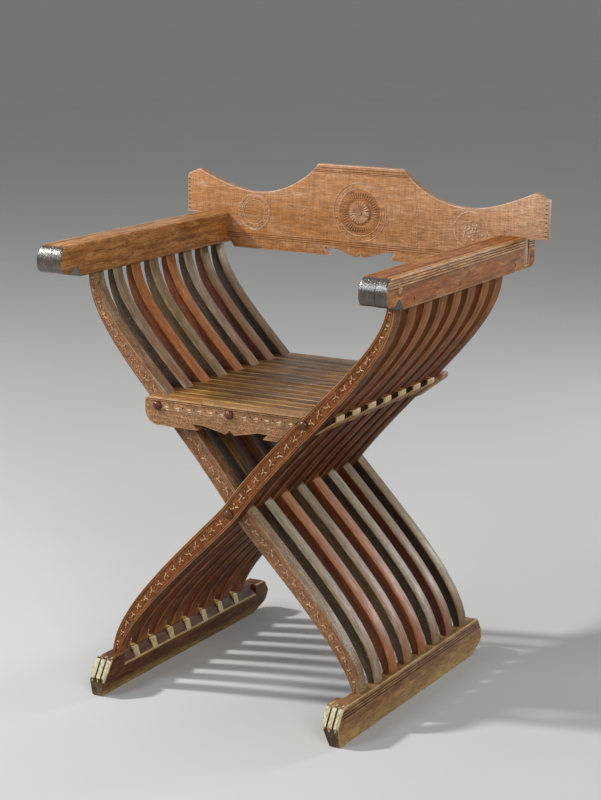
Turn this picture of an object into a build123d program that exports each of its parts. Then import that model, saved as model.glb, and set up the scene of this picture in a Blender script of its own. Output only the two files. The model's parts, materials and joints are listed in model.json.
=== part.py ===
from build123d import *
import math
import os

# Folding Savonarola armchair. Two sets of S-shaped staves cross on one long rod and fold
# like scissors. Staves of frame A run from the left foot to the right arm, and staves of
# frame B from the right foot to the left arm, one layer of A, then one of B, front to back.
# The seat is two sets of interleaved slats, hinged to the staves at the sides and to each
# other in the middle. A carved board drops into slots in the arms and locks the chair open.
#
# Frame: origin on the floor, in the middle of the overall width and depth. +X to the right
# as seen from the front, +Y to the back, +Z up. Millimetres.

# --- Driving dimensions ------------------------------------------------------------------

# Layers
PAIR_COUNT = 8              # staves in each frame
LAYER_PITCH = 27.2          # front of one layer to the front of the next
LAYER_GAP = 0.4             # air between neighbouring layers

# Staves, drawn for frame A: centre line from the foot (-X) over the pivot to the arm (+X)
PIVOT_HEIGHT = 331.0
PIVOT_SLOPE_UP = 54.0       # degrees, tangent of the arm half at the pivot
PIVOT_SLOPE_DOWN = 46.0     # degrees, tangent of the foot half at the pivot
ARM_SLOPE = 90.0            # degrees, tangent at the arm
FOOT_SLOPE = 82.0           # degrees, tangent at the foot
ARM_HALF_PULL = 190.0       # Bezier handle at the pivot, arm half
ARM_END_PULL = 92.0         # Bezier handle at the arm
FOOT_HALF_PULL = 130.0      # Bezier handle at the pivot, foot half
FOOT_END_PULL = 70.0        # Bezier handle at the foot
STAVE_MID_WIDTH = 30.0
STAVE_ARM_WIDTH = 12.0
STAVE_FOOT_WIDTH = 13.0
STAVE_TAPER = 2.5           # exponent of the taper from the middle to the ends
STATIONS_PER_HALF = 5       # spline points along each half

# Feet
FOOT_INNER = 199.0          # inner face to the middle plane
FOOT_WIDTH = 32.0
FOOT_FLARE = 14.0           # the inner face slants outwards by this much down to the sole
FOOT_HEIGHT = 62.0
FOOT_STAVE_SET = 14.0       # stave centre to the foot's outer face
FOOT_FRONT_REACH = 58.0     # paw in front of the stack
FOOT_REAR_REACH = 50.0      # heel behind the stack
FOOT_BEVEL_DROP = 18.0      # bevel along the inner top edge
FOOT_BEVEL_WIDTH = 10.0
TOE_GROOVE_WIDTH = 3.0
TOE_GROOVE_DEPTH = 4.0
TOE_GROOVE_LOW = 0.42       # share of the foot's height
TOE_COUNT = 3
PAW_TUCK = 8.0              # the paw's sole starts this far behind its tip
PAW_SLOPE = 20.0            # the toes slope back by this much up to the foot's top
HEEL_TUCK = 35.0            # the sole ends this far in front of the heel
HEEL_LOW = 0.28             # shares of the foot's height
HEEL_HIGH = 0.6
FOOT_ROUNDS = (4, 16, 9, 10, 6, 6, 0)
POCKET_DEPTH = 8.0          # pockets in the foot's top between the staves
POCKET_LENGTH = 20.0        # front to back
POCKET_WIDTH = 13.0
CHOCK_THICKNESS = 15.0      # wedge chocks between the staves, front to back

# Arms
ARM_INNER = 262.6
ARM_WIDTH = 46.0
ARM_BOTTOM = 691.0
ARM_HEIGHT = 54.0
ARM_STAVE_SET = 14.0        # stave centre to the arm's inner face
ARM_FRONT_REACH = 78.0
ARM_CHEEK = 26.0            # wood behind the back board
ARM_NOSE_LIFT = 9.0         # underside of the nose above the arm's underside
ARM_NOTCH_RISE = 20.0       # top of the hooked notch above the arm's underside
ARM_NOTCH_FRONT = 50.0      # hook tip in front of the stack
ARM_NOTCH_BACK = 22.0       # where the underside starts, in front of the stack
ARM_TOP_ROUND = 18.0
ARM_NOSE_ROUND = 10.0
ARM_REAR_ROUND = 12.0
ARM_NOTCH_ROUNDS = (3, 3, 2)

# Back board
BOARD_THICKNESS = 14.0
BOARD_HALF = 346.5
BOARD_RISE = 97.0            # crest above the arms; the rises below are also from the arms' tops
CREST_HALF = 82.0
SWEEP_LOW_X = 205.0
SWEEP_LOW_RISE = 40.0
SWEEP_UPPER_X = 106.0
SWEEP_UPPER_RISE = 74.0
SWEEP_OUTER_X = 265.0
SWEEP_OUTER_RISE = 51.0
EAR_PEAK_X = 323.0
EAR_PEAK_RISE = 74.0
EAR_CORNER_DROP = 10.0
EAR_UNDERCUT = 4.0          # underside of the ears below the arm's top
TONGUE_INSET = 1.0          # board's tongue stops this far inside the arm's outer face
BOARD_DROP = 7.5            # middle of the board hangs this far below the arm's underside
SLOT_FLOOR = 8.0            # floor of the arm's slot above the arm's underside
BOARD_END_TAPER = 11.0      # slanted lower corners, so that the arms swing clear

# Scalloped edge, shared by the board and the two seat rails
SCALLOP_RISE = 13.5
SCALLOP_LOBE_X = 8.0
SCALLOP_TIP_X = 59.0
SCALLOP_HOOK_X = 68.0
SCALLOP_SLIT = 7.5
SCALLOP_INNER_X = 50.0      # foot of the wave, between the hook and the lobe
SCALLOP_WAVE_X = 28.0       # halfway down the wave

# Seat
SEAT_TOP = 504.5
SEAT_AXIS_DROP = 12.5       # hinge axes below the seat's top
SEAT_PIVOT_SET = 7.5        # side hinge inside the stave's centre line
RAIL_HEIGHT = 46.0
SLAT_HEIGHT = 34.0
SEAT_OVERHANG = 25.0        # front rail's end outside its side hinge
SEAT_TIP = 5.0              # slat tips stand this far out of the staves
SEAT_TIP_HEIGHT = 9.0
SEAT_TOP_CORNER = 5.0
SEAT_END_GAP = 1.2          # slat end to the stave it closes against
RAIL_SCALLOP_RISE = 9.0
SLAT_BELLY = 0.6            # share of the slat's height that its end is rounded over

# Rods, heads and pegs
MAIN_ROD_RADIUS = 6.0
SIDE_ROD_RADIUS = 5.0
MIDDLE_ROD_RADIUS = 4.0
ROD_CLEARANCE = 0.08        # radial
HEAD_RADIUS = 7.5
HEAD_HEIGHT = 7.0
HEAD_RIM = 1.2
HEAD_SHOULDER = 0.72        # share of radius and height at the dome's shoulder
HEAD_GAP = 0.4
HEAD_BORE = 4.0
PLUG_RADIUS = 2.5
PLUG_LENGTH = 3.0
SLOT_INBOARD = 21.9         # travel of the middle rod in the slats, towards their hinge
SLOT_UP = 1.2
SLOT_DOWN = 6.8
SLOT_CLEARANCE = 0.35
RAIL_SKIN = 6.0             # blind end of the middle rod's slot in the outer rails
PEG_RADIUS = 3.0
PEG_LENGTH = 34.0
PEG_RISE = 13.0             # peg axis above the arm's underside
PEG_RECESS = 0.8
PEG_STAVES = (0, PAIR_COUNT // 2 - 1, PAIR_COUNT - 1)

# Joinery
TENON_SHOULDER = 2.0
TENON_CHEEK = 3.0
ARM_TENON = 26.0
FOOT_TENON = 28.0
JOINT_GAP = 0.1             # glue gap round tenons, pegs and fixed rods
BOARD_PLAY = 0.4            # board in its slots
BOARD_STANDOFF = 1.2        # board behind the last stave

# --- Derived places ----------------------------------------------------------------------

LAYER_COUNT = 2 * PAIR_COUNT
STAVE_THICKNESS = LAYER_PITCH - LAYER_GAP
STACK_DEPTH = LAYER_COUNT * LAYER_PITCH
STACK_FRONT = ARM_FRONT_REACH - (ARM_FRONT_REACH + STACK_DEPTH + FOOT_REAR_REACH) / 2
STACK_BACK = STACK_FRONT + STACK_DEPTH
FOOT_OUTER = FOOT_INNER + FOOT_WIDTH
FOOT_JOINT_X = FOOT_OUTER - FOOT_STAVE_SET
ARM_OUTER = ARM_INNER + ARM_WIDTH
ARM_TOP = ARM_BOTTOM + ARM_HEIGHT
ARM_JOINT_X = ARM_INNER + ARM_STAVE_SET
BOARD_TOP = ARM_TOP + BOARD_RISE
SWEEP_LOW_HEIGHT = ARM_TOP + SWEEP_LOW_RISE
SWEEP_UPPER_HEIGHT = ARM_TOP + SWEEP_UPPER_RISE
SWEEP_OUTER_HEIGHT = ARM_TOP + SWEEP_OUTER_RISE
EAR_PEAK_HEIGHT = ARM_TOP + EAR_PEAK_RISE
BOARD_FRONT = STACK_BACK + BOARD_STANDOFF
BOARD_BACK = BOARD_FRONT + BOARD_THICKNESS
ARM_REAR = BOARD_BACK + BOARD_PLAY + ARM_CHEEK
SLOT_FLOOR_HEIGHT = ARM_BOTTOM + SLOT_FLOOR
SEAT_AXIS_HEIGHT = SEAT_TOP - SEAT_AXIS_DROP
PEG_OUTER = ARM_OUTER - PEG_RECESS
PEG_INNER = PEG_OUTER - PEG_LENGTH
EPS = 1.0                   # overshoot of cutting tools

os.makedirs("parts", exist_ok=True)
nodes = {}


def layer_front(layer):
    """Front face of a layer; layer 0 is the frontmost stave."""
    return STACK_FRONT + layer * LAYER_PITCH + LAYER_GAP / 2


def layer_middle(layer):
    return layer_front(layer) + STAVE_THICKNESS / 2


def extrude_layer(face, layer):
    """Turn a face drawn in the XZ plane into a board that fills one layer."""
    return extrude(Pos(0, layer_front(layer), 0) * face, STAVE_THICKNESS, dir=(0, 1, 0))


def box_between(low, high):
    """Box from its low corner to its high corner."""
    size = [h - l for l, h in zip(low, high)]
    centre = [(h + l) / 2 for l, h in zip(low, high)]
    return Pos(*centre) * Box(*size)


def rod_along_y(x, z, y_front, y_back, radius):
    """Round bar parallel to Y."""
    turned = Rot(90, 0, 0) * Cylinder(radius, y_back - y_front)
    return Pos(x, (y_front + y_back) / 2, z) * turned


def mirrored(shape):
    """Left-right mirror image, which turns a frame A piece into its frame B twin."""
    return mirror(shape, about=Plane.YZ)


# --- Stave outline -----------------------------------------------------------------------

def half_handles(upper):
    """Bezier handles of one half of the stave, as (x, z), in the upper right quarter sense."""
    if upper:
        end = (ARM_JOINT_X, ARM_BOTTOM)
        start_angle, end_angle = math.radians(PIVOT_SLOPE_UP), math.radians(ARM_SLOPE)
        start_pull, end_pull, sign = ARM_HALF_PULL, ARM_END_PULL, 1
    else:
        end = (FOOT_JOINT_X, FOOT_HEIGHT)
        start_angle, end_angle = math.radians(PIVOT_SLOPE_DOWN), math.radians(FOOT_SLOPE)
        start_pull, end_pull, sign = FOOT_HALF_PULL, FOOT_END_PULL, -1
    return (
        (0.0, PIVOT_HEIGHT),
        (start_pull * math.cos(start_angle), PIVOT_HEIGHT + sign * start_pull * math.sin(start_angle)),
        (end[0] - end_pull * math.cos(end_angle), end[1] - sign * end_pull * math.sin(end_angle)),
        end,
    )


def centre_point(station):
    """Centre line of a frame A stave; station -1 is the foot, 0 the pivot and 1 the arm."""
    side = 1 if station >= 0 else -1
    u = abs(station)
    weights = ((1 - u) ** 3, 3 * u * (1 - u) ** 2, 3 * u * u * (1 - u), u ** 3)
    handles = half_handles(side > 0)
    x = sum(w * p[0] for w, p in zip(weights, handles))
    z = sum(w * p[1] for w, p in zip(weights, handles))
    return side * x, z


def edge_point(station, side):
    """Point on the stave's edge; side 1 is the sitter's edge, -1 the outer edge."""
    step = 0.01
    behind = centre_point(max(station - step, -1))
    ahead = centre_point(min(station + step, 1))
    along_x, along_z = ahead[0] - behind[0], ahead[1] - behind[1]
    if abs(station) == 1:
        along_x = 0.0
    length = math.hypot(along_x, along_z)
    end_width = STAVE_ARM_WIDTH if station >= 0 else STAVE_FOOT_WIDTH
    width = end_width + (STAVE_MID_WIDTH - end_width) * (1 - abs(station) ** STAVE_TAPER)
    x, z = centre_point(station)
    reach = side * width / 2
    return x - reach * along_z / length, z + reach * along_x / length


def station_at_height(height, side):
    """Station in the arm half where the given edge (or the centre, side 0) has this height."""
    low, high = 0.0, 1.0
    for _ in range(40):
        middle = (low + high) / 2
        z = edge_point(middle, side)[1] if side else centre_point(middle)[1]
        if z < height:
            low = middle
        else:
            high = middle
    return (low + high) / 2


def edge_x(height, side):
    """X of an edge of a frame A stave in the arm half, at a height."""
    return edge_point(station_at_height(height, side), side)[0]


SEAT_PIVOT_X = centre_point(station_at_height(SEAT_AXIS_HEIGHT, 0))[0] - SEAT_PIVOT_SET


def stave_face():
    stations = [i / STATIONS_PER_HALF for i in range(-STATIONS_PER_HALF, STATIONS_PER_HALF + 1)]
    inner = [Vector(x, 0, z) for x, z in (edge_point(s, 1) for s in stations)]
    outer = [Vector(x, 0, z) for x, z in (edge_point(s, -1) for s in stations)]
    edges = [
        Spline(*inner),
        Line(inner[-1], outer[-1]),
        Spline(*outer[::-1]),
        Line(outer[0], inner[0]),
    ]
    return make_face(edges)


def tenon(layer, centre_x, width, z_low, z_high, grow=0.0):
    """Tenon at a stave's end, or with grow the mortise that takes it."""
    y_front = layer_front(layer) + TENON_CHEEK
    y_back = layer_front(layer) + STAVE_THICKNESS - TENON_CHEEK
    half = width / 2 - TENON_SHOULDER
    low = (centre_x - half - grow, y_front - grow, z_low)
    high = (centre_x + half + grow, y_back + grow, z_high)
    return box_between(low, high)


def peg_solid(layer, radius, inner_x, outer_x):
    """Peg along X through the arm into the tenon."""
    turned = Rot(0, 90, 0) * Cylinder(radius, outer_x - inner_x)
    return Pos((inner_x + outer_x) / 2, layer_middle(layer), ARM_BOTTOM + PEG_RISE) * turned


def make_stave(index, frame_layer):
    """One stave of frame A standing in the given layer."""
    stave = extrude_layer(stave_face(), frame_layer)
    stave += tenon(frame_layer, ARM_JOINT_X, STAVE_ARM_WIDTH, ARM_BOTTOM - EPS, ARM_BOTTOM + ARM_TENON)
    stave += tenon(frame_layer, -FOOT_JOINT_X, STAVE_FOOT_WIDTH, FOOT_HEIGHT - FOOT_TENON, FOOT_HEIGHT + EPS)
    front, back = layer_front(frame_layer) - EPS, layer_front(frame_layer) + STAVE_THICKNESS + EPS
    stave -= rod_along_y(0, PIVOT_HEIGHT, front, back, MAIN_ROD_RADIUS + ROD_CLEARANCE)
    stave -= rod_along_y(SEAT_PIVOT_X, SEAT_AXIS_HEIGHT, front, back, SIDE_ROD_RADIUS + ROD_CLEARANCE)
    if index in PEG_STAVES:
        stave -= peg_solid(frame_layer, PEG_RADIUS + JOINT_GAP, ARM_INNER, ARM_OUTER)
    return stave


# --- Feet --------------------------------------------------------------------------------

def foot_profile():
    """Side view of a foot in the YZ plane: paw at the front, rounded heel."""
    front = STACK_FRONT - FOOT_FRONT_REACH
    rear = STACK_BACK + FOOT_REAR_REACH
    points = [
        Vector(0, front + PAW_TUCK, 0),
        Vector(0, front, FOOT_HEIGHT / 2),
        Vector(0, front + PAW_SLOPE, FOOT_HEIGHT),
        Vector(0, rear - HEEL_TUCK / 2, FOOT_HEIGHT),
        Vector(0, rear, FOOT_HEIGHT * HEEL_HIGH),
        Vector(0, rear, FOOT_HEIGHT * HEEL_LOW),
        Vector(0, rear - HEEL_TUCK, 0),
    ]
    return make_face(FilletPolyline(*points, radius=FOOT_ROUNDS, close=True))


def foot(first_layer):
    """Foot drawn on the right, for the staves that stand in every second layer."""
    runner = extrude(Pos(FOOT_INNER, 0, 0) * foot_profile(), FOOT_WIDTH, dir=(1, 0, 0))
    bevel = Polyline(
        (FOOT_INNER - EPS, STACK_FRONT, FOOT_HEIGHT + EPS),
        (FOOT_INNER + FOOT_BEVEL_WIDTH, STACK_FRONT, FOOT_HEIGHT + EPS),
        (FOOT_INNER + FOOT_BEVEL_WIDTH, STACK_FRONT, FOOT_HEIGHT),
        (FOOT_INNER, STACK_FRONT, FOOT_HEIGHT - FOOT_BEVEL_DROP),
        (FOOT_INNER - EPS, STACK_FRONT, FOOT_HEIGHT - FOOT_BEVEL_DROP),
        close=True,
    )
    runner -= extrude(make_face(bevel), STACK_DEPTH, dir=(0, 1, 0))
    front = STACK_FRONT - FOOT_FRONT_REACH
    slant = Polyline(
        (FOOT_INNER - EPS, front - EPS, FOOT_HEIGHT - FOOT_BEVEL_DROP),
        (FOOT_INNER, front - EPS, FOOT_HEIGHT - FOOT_BEVEL_DROP),
        (FOOT_INNER + FOOT_FLARE, front - EPS, 0),
        (FOOT_INNER + FOOT_FLARE, front - EPS, -EPS),
        (FOOT_INNER - EPS, front - EPS, -EPS),
        close=True,
    )
    length = STACK_DEPTH + FOOT_FRONT_REACH + FOOT_REAR_REACH + 2 * EPS
    runner -= extrude(make_face(slant), length, dir=(0, 1, 0))
    for groove in range(1, TOE_COUNT):
        x = FOOT_INNER + FOOT_WIDTH * groove / TOE_COUNT - TOE_GROOVE_WIDTH / 2
        cut = Polyline(
            (x, front - EPS, FOOT_HEIGHT * TOE_GROOVE_LOW),
            (x, front + TOE_GROOVE_DEPTH, FOOT_HEIGHT * TOE_GROOVE_LOW),
            (x, front + PAW_SLOPE + TOE_GROOVE_DEPTH, FOOT_HEIGHT + EPS),
            (x, front - EPS, FOOT_HEIGHT + EPS),
            close=True,
        )
        runner -= extrude(make_face(cut), TOE_GROOVE_WIDTH, dir=(1, 0, 0))
    for index in range(PAIR_COUNT):
        layer = 2 * index + first_layer
        runner -= tenon(layer, FOOT_JOINT_X, STAVE_FOOT_WIDTH, FOOT_HEIGHT - FOOT_TENON - JOINT_GAP,
                        FOOT_HEIGHT + EPS, JOINT_GAP)
        if index < PAIR_COUNT - 1:
            runner -= pocket(layer + 1)
    return runner


def pocket(layer):
    """Sunk pocket in the foot's top, in the gap between two staves."""
    y = layer_middle(layer)
    low = (FOOT_JOINT_X - POCKET_WIDTH / 2, y - POCKET_LENGTH / 2, FOOT_HEIGHT - POCKET_DEPTH)
    high = (FOOT_JOINT_X + POCKET_WIDTH / 2, y + POCKET_LENGTH / 2, FOOT_HEIGHT + EPS)
    return box_between(low, high)


def foot_chocks(first_layer):
    """Wedge chocks on a right foot's bevel, in the gaps between the staves."""
    section = Polyline(
        (FOOT_INNER, 0, FOOT_HEIGHT - FOOT_BEVEL_DROP),
        (FOOT_INNER + FOOT_BEVEL_WIDTH, 0, FOOT_HEIGHT),
        (FOOT_INNER + FOOT_BEVEL_WIDTH / 2, 0, FOOT_HEIGHT),
        close=True,
    )
    wedges = []
    for index in range(PAIR_COUNT - 1):
        y = layer_middle(2 * index + first_layer + 1) - CHOCK_THICKNESS / 2
        wedges.append(extrude(Pos(0, y, 0) * make_face(section), CHOCK_THICKNESS, dir=(0, 1, 0)))
    return Compound(children=wedges)


# --- Arms --------------------------------------------------------------------------------

def arm_profile():
    """Side view of an arm in the YZ plane: rounded nose, hooked notch, rear cheek."""
    front = STACK_FRONT - ARM_FRONT_REACH
    notch_middle = (ARM_NOTCH_FRONT + ARM_NOTCH_BACK) / 2
    points = [
        Vector(0, front, ARM_TOP),
        Vector(0, front, ARM_BOTTOM + ARM_NOSE_LIFT),
        Vector(0, STACK_FRONT - ARM_NOTCH_FRONT, ARM_BOTTOM + ARM_NOSE_LIFT),
        Vector(0, STACK_FRONT - notch_middle, ARM_BOTTOM + ARM_NOTCH_RISE),
        Vector(0, STACK_FRONT - ARM_NOTCH_BACK, ARM_BOTTOM),
        Vector(0, ARM_REAR, ARM_BOTTOM),
        Vector(0, ARM_REAR, ARM_TOP),
    ]
    radii = [ARM_TOP_ROUND, ARM_NOSE_ROUND, *ARM_NOTCH_ROUNDS, ARM_REAR_ROUND, ARM_REAR_ROUND]
    return make_face(FilletPolyline(*points, radius=radii, close=True))


def arm(first_layer):
    """Arm drawn on the right, for the staves that stand in every second layer."""
    rest = extrude(Pos(ARM_INNER, 0, 0) * arm_profile(), ARM_WIDTH, dir=(1, 0, 0))
    low = (ARM_INNER - EPS, BOARD_FRONT - BOARD_PLAY, SLOT_FLOOR_HEIGHT)
    high = (ARM_OUTER + EPS, BOARD_BACK + BOARD_PLAY, ARM_TOP + EPS)
    rest -= box_between(low, high)
    for index in range(PAIR_COUNT):
        layer = 2 * index + first_layer
        rest -= tenon(layer, ARM_JOINT_X, STAVE_ARM_WIDTH, ARM_BOTTOM - EPS,
                      ARM_BOTTOM + ARM_TENON + JOINT_GAP, JOINT_GAP)
        if index in PEG_STAVES:
            rest -= peg_solid(layer, PEG_RADIUS + JOINT_GAP, PEG_INNER - JOINT_GAP, ARM_OUTER + EPS)
    return rest


def arm_pegs(first_layer):
    """Pegs that lock the staves' tenons in a right arm."""
    layers = [2 * index + first_layer for index in PEG_STAVES]
    return Compound(children=[peg_solid(n, PEG_RADIUS, PEG_INNER, PEG_OUTER) for n in layers])


# --- Back board --------------------------------------------------------------------------

def scallop_edges(base, rise):
    """Right half of the scalloped edge, from the hook's tip to the middle slit."""
    tip = Vector(SCALLOP_TIP_X, 0, base)
    hook = Vector(SCALLOP_HOOK_X, 0, base + rise)
    inner = Vector(SCALLOP_INNER_X, 0, base + rise)
    lobe = Vector(SCALLOP_LOBE_X, 0, base)
    slit = Vector(0, 0, base + SCALLOP_SLIT)
    wave = Spline(inner, Vector(SCALLOP_WAVE_X, 0, base + rise / 2), lobe)
    return [Line(tip, hook), Line(hook, inner), wave, Line(lobe, slit)]


def mirror_edges(edges):
    return [mirror(edge, about=Plane.YZ) for edge in edges]


def back_board():
    base = ARM_BOTTOM - BOARD_DROP
    tongue = SLOT_FLOOR_HEIGHT + JOINT_GAP
    ear_bottom = ARM_TOP - EAR_UNDERCUT
    tongue_end = ARM_OUTER - TONGUE_INSET
    inner = ARM_INNER - 2 * BOARD_PLAY
    crest = Vector(CREST_HALF, 0, BOARD_TOP)
    peak = Vector(EAR_PEAK_X, 0, EAR_PEAK_HEIGHT)
    sweep = Spline(
        crest,
        Vector(SWEEP_UPPER_X, 0, SWEEP_UPPER_HEIGHT),
        Vector(SWEEP_LOW_X, 0, SWEEP_LOW_HEIGHT),
        Vector(SWEEP_OUTER_X, 0, SWEEP_OUTER_HEIGHT),
        peak,
    )
    outline = Polyline(
        peak,
        (BOARD_HALF, 0, EAR_PEAK_HEIGHT - EAR_CORNER_DROP),
        (BOARD_HALF, 0, ear_bottom),
        (tongue_end, 0, ear_bottom),
        (tongue_end, 0, tongue),
        (inner, 0, tongue),
        (inner - BOARD_END_TAPER, 0, base),
        (SCALLOP_TIP_X, 0, base),
    )
    half = [Line((0, 0, BOARD_TOP), crest), sweep, outline]
    half += scallop_edges(base, SCALLOP_RISE)
    face = make_face(half + mirror_edges(half))
    return extrude(Pos(0, BOARD_FRONT, 0) * face, BOARD_THICKNESS, dir=(0, 1, 0))


# --- Seat --------------------------------------------------------------------------------

def slat_face(height, scalloped, round_end):
    """Front view of a seat slat or scalloped rail of the left-hinged set.

    The front rail has a round left end; the others follow the staves' outer edge there and
    end in a small square tip.
    """
    bottom = SEAT_TOP - height
    right_top = edge_x(SEAT_TOP, 1) - SEAT_END_GAP
    right_bottom = edge_x(bottom, 1) - SEAT_END_GAP
    if round_end:
        left = -SEAT_PIVOT_X - SEAT_OVERHANG
        belly = min(height * SLAT_BELLY, SEAT_OVERHANG)
        tuck = belly * (1 - math.sqrt(0.5))
        left_bottom = left + belly
        outline = [
            Line((right_top, 0, SEAT_TOP), (left + SEAT_TOP_CORNER, 0, SEAT_TOP)),
            Line((left + SEAT_TOP_CORNER, 0, SEAT_TOP), (left, 0, SEAT_TOP - SEAT_TOP_CORNER)),
            Line((left, 0, SEAT_TOP - SEAT_TOP_CORNER), (left, 0, bottom + belly)),
            ThreePointArc((left, 0, bottom + belly), (left + tuck, 0, bottom + tuck),
                          (left_bottom, 0, bottom)),
        ]
    else:
        left = -edge_x(SEAT_TOP, -1) - SEAT_TIP
        left_bottom = -edge_x(bottom, -1)
        outline = [
            Line((right_top, 0, SEAT_TOP), (left, 0, SEAT_TOP)),
            Line((left, 0, SEAT_TOP), (left, 0, SEAT_TOP - SEAT_TIP_HEIGHT)),
            Line((left, 0, SEAT_TOP - SEAT_TIP_HEIGHT), (left_bottom, 0, bottom)),
        ]
    outline.append(Line((right_bottom, 0, bottom), (right_top, 0, SEAT_TOP)))
    if not scalloped:
        return make_face(outline + [Line((left_bottom, 0, bottom), (right_bottom, 0, bottom))])
    half = scallop_edges(bottom, RAIL_SCALLOP_RISE)
    outline += half + mirror_edges(half)
    outline.append(Line((left_bottom, 0, bottom), (-SCALLOP_TIP_X, 0, bottom)))
    outline.append(Line((SCALLOP_TIP_X, 0, bottom), (right_bottom, 0, bottom)))
    return make_face(outline)


def middle_slot(y_front, y_back):
    """Slot for the middle rod: it lets the rod travel along and across the slat."""
    reach = MIDDLE_ROD_RADIUS + SLOT_CLEARANCE
    low_x, high_x = -SLOT_INBOARD - reach, reach
    low_z = SEAT_AXIS_HEIGHT - SLOT_DOWN - reach
    high_z = SEAT_AXIS_HEIGHT + SLOT_UP + reach
    slot = box_between((low_x, y_front, low_z), (high_x, y_back, high_z))
    return fillet(slot.edges().filter_by(Axis.Y), MIDDLE_ROD_RADIUS)


def make_slat(layer, scalloped):
    """Slat of the left-hinged set in the given layer; the right-hinged set is its mirror image."""
    front, back = layer_front(layer), layer_front(layer) + STAVE_THICKNESS
    height = RAIL_HEIGHT if scalloped else SLAT_HEIGHT
    slat = extrude_layer(slat_face(height, scalloped, layer == 0), layer)
    slat -= rod_along_y(-SEAT_PIVOT_X, SEAT_AXIS_HEIGHT, front - EPS, back + EPS,
                        SIDE_ROD_RADIUS + ROD_CLEARANCE)
    if layer == 0:
        slat -= middle_slot(front + RAIL_SKIN, back + EPS)
        slat -= rod_along_y(0, SEAT_AXIS_HEIGHT, front - EPS, front + PLUG_LENGTH + JOINT_GAP,
                            PLUG_RADIUS + JOINT_GAP)
    elif layer == LAYER_COUNT - 1:
        slat -= middle_slot(front - EPS, back - RAIL_SKIN)
        slat -= rod_along_y(0, SEAT_AXIS_HEIGHT, back - PLUG_LENGTH - JOINT_GAP, back + EPS,
                            PLUG_RADIUS + JOINT_GAP)
    else:
        slat -= middle_slot(front - EPS, back + EPS)
    return slat


# --- Rods and heads ----------------------------------------------------------------------

def dome_face():
    """Half section of a head, drawn in the XY plane about the Y axis, flat side at y = 0."""
    crown = Vector(0, HEAD_HEIGHT)
    shoulder = Vector(HEAD_RADIUS * HEAD_SHOULDER, HEAD_HEIGHT * HEAD_SHOULDER)
    rim = Vector(HEAD_RADIUS, HEAD_RIM)
    arc = Spline(crown, shoulder, rim, tangents=[(1, 0), (0, -1)])
    return make_face([arc, Polyline(rim, (HEAD_RADIUS, 0), (0, 0), crown)])


def head(x, z, y_face, outward, bore_radius=0.0, plug=False):
    """Domed head on a face at y_face; outward is -1 at the front and 1 at the back."""
    solid = revolve(dome_face(), axis=Axis.Y)
    if bore_radius:
        solid -= rod_along_y(0, 0, -EPS, HEAD_BORE, bore_radius + JOINT_GAP / 2)
    if plug:
        solid += rod_along_y(0, 0, -PLUG_LENGTH, EPS, PLUG_RADIUS)
    if outward < 0:
        solid = mirror(solid, about=Plane.XZ)
    return Pos(x, y_face, z) * solid


def rod_with_heads(name, x, z, radius, front_gap, back_gap):
    """Rod through the whole stack with a head at each end."""
    front, back = layer_front(0) - front_gap, layer_front(LAYER_COUNT - 1) + STAVE_THICKNESS + back_gap
    reach = HEAD_BORE - JOINT_GAP
    nodes[name] = rod_along_y(x, z, front - reach, back + reach, radius)
    nodes[name + "_head_front"] = head(x, z, front, -1, radius)
    nodes[name + "_head_rear"] = head(x, z, back, 1, radius)


# --- Assembly ----------------------------------------------------------------------------

for index in range(PAIR_COUNT):
    layer_a, layer_b = 2 * index, 2 * index + 1
    nodes[f"stave_a_{index + 1}"] = make_stave(index, layer_a)
    nodes[f"stave_b_{index + 1}"] = mirrored(make_stave(index, layer_b))
    left_name = "seat_rail_front" if index == 0 else f"seat_slat_left_{index + 1}"
    right_name = "seat_rail_rear" if index == PAIR_COUNT - 1 else f"seat_slat_right_{index + 1}"
    nodes[left_name] = make_slat(layer_a, index == 0)
    nodes[right_name] = mirrored(make_slat(layer_b, index == PAIR_COUNT - 1))

# Frame A holds the left foot and the right arm, frame B the right foot and the left arm.
FIRST_A, FIRST_B = 0, 1
nodes["foot_left"] = mirrored(foot(FIRST_A))
nodes["foot_right"] = foot(FIRST_B)
nodes["foot_chocks_left"] = mirrored(foot_chocks(FIRST_A))
nodes["foot_chocks_right"] = foot_chocks(FIRST_B)
nodes["arm_left"] = mirrored(arm(FIRST_B))
nodes["arm_right"] = arm(FIRST_A)
nodes["arm_pegs_left"] = mirrored(arm_pegs(FIRST_B))
nodes["arm_pegs_right"] = arm_pegs(FIRST_A)
nodes["back_board"] = back_board()

rod_with_heads("pivot_rod", 0, PIVOT_HEIGHT, MAIN_ROD_RADIUS, HEAD_GAP, HEAD_GAP)
rod_with_heads("seat_rod_left", -SEAT_PIVOT_X, SEAT_AXIS_HEIGHT, SIDE_ROD_RADIUS, HEAD_GAP, 0)
rod_with_heads("seat_rod_right", SEAT_PIVOT_X, SEAT_AXIS_HEIGHT, SIDE_ROD_RADIUS, 0, HEAD_GAP)

front_face = layer_front(0)
rear_face = layer_front(LAYER_COUNT - 1) + STAVE_THICKNESS
nodes["seat_rod_middle"] = rod_along_y(0, SEAT_AXIS_HEIGHT, front_face + RAIL_SKIN + JOINT_GAP,
                                       rear_face - RAIL_SKIN - JOINT_GAP, MIDDLE_ROD_RADIUS)
nodes["seat_rod_middle_head_front"] = head(0, SEAT_AXIS_HEIGHT, front_face, -1, plug=True)
nodes["seat_rod_middle_head_rear"] = head(0, SEAT_AXIS_HEIGHT, rear_face, 1, plug=True)

for name, solid in nodes.items():
    export_step(solid, f"parts/{name}.step")
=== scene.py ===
import json
import math

import bmesh
import bpy
from bpy.props import FloatProperty, FloatVectorProperty, IntProperty, PointerProperty
from mathutils import Matrix, Vector

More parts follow.
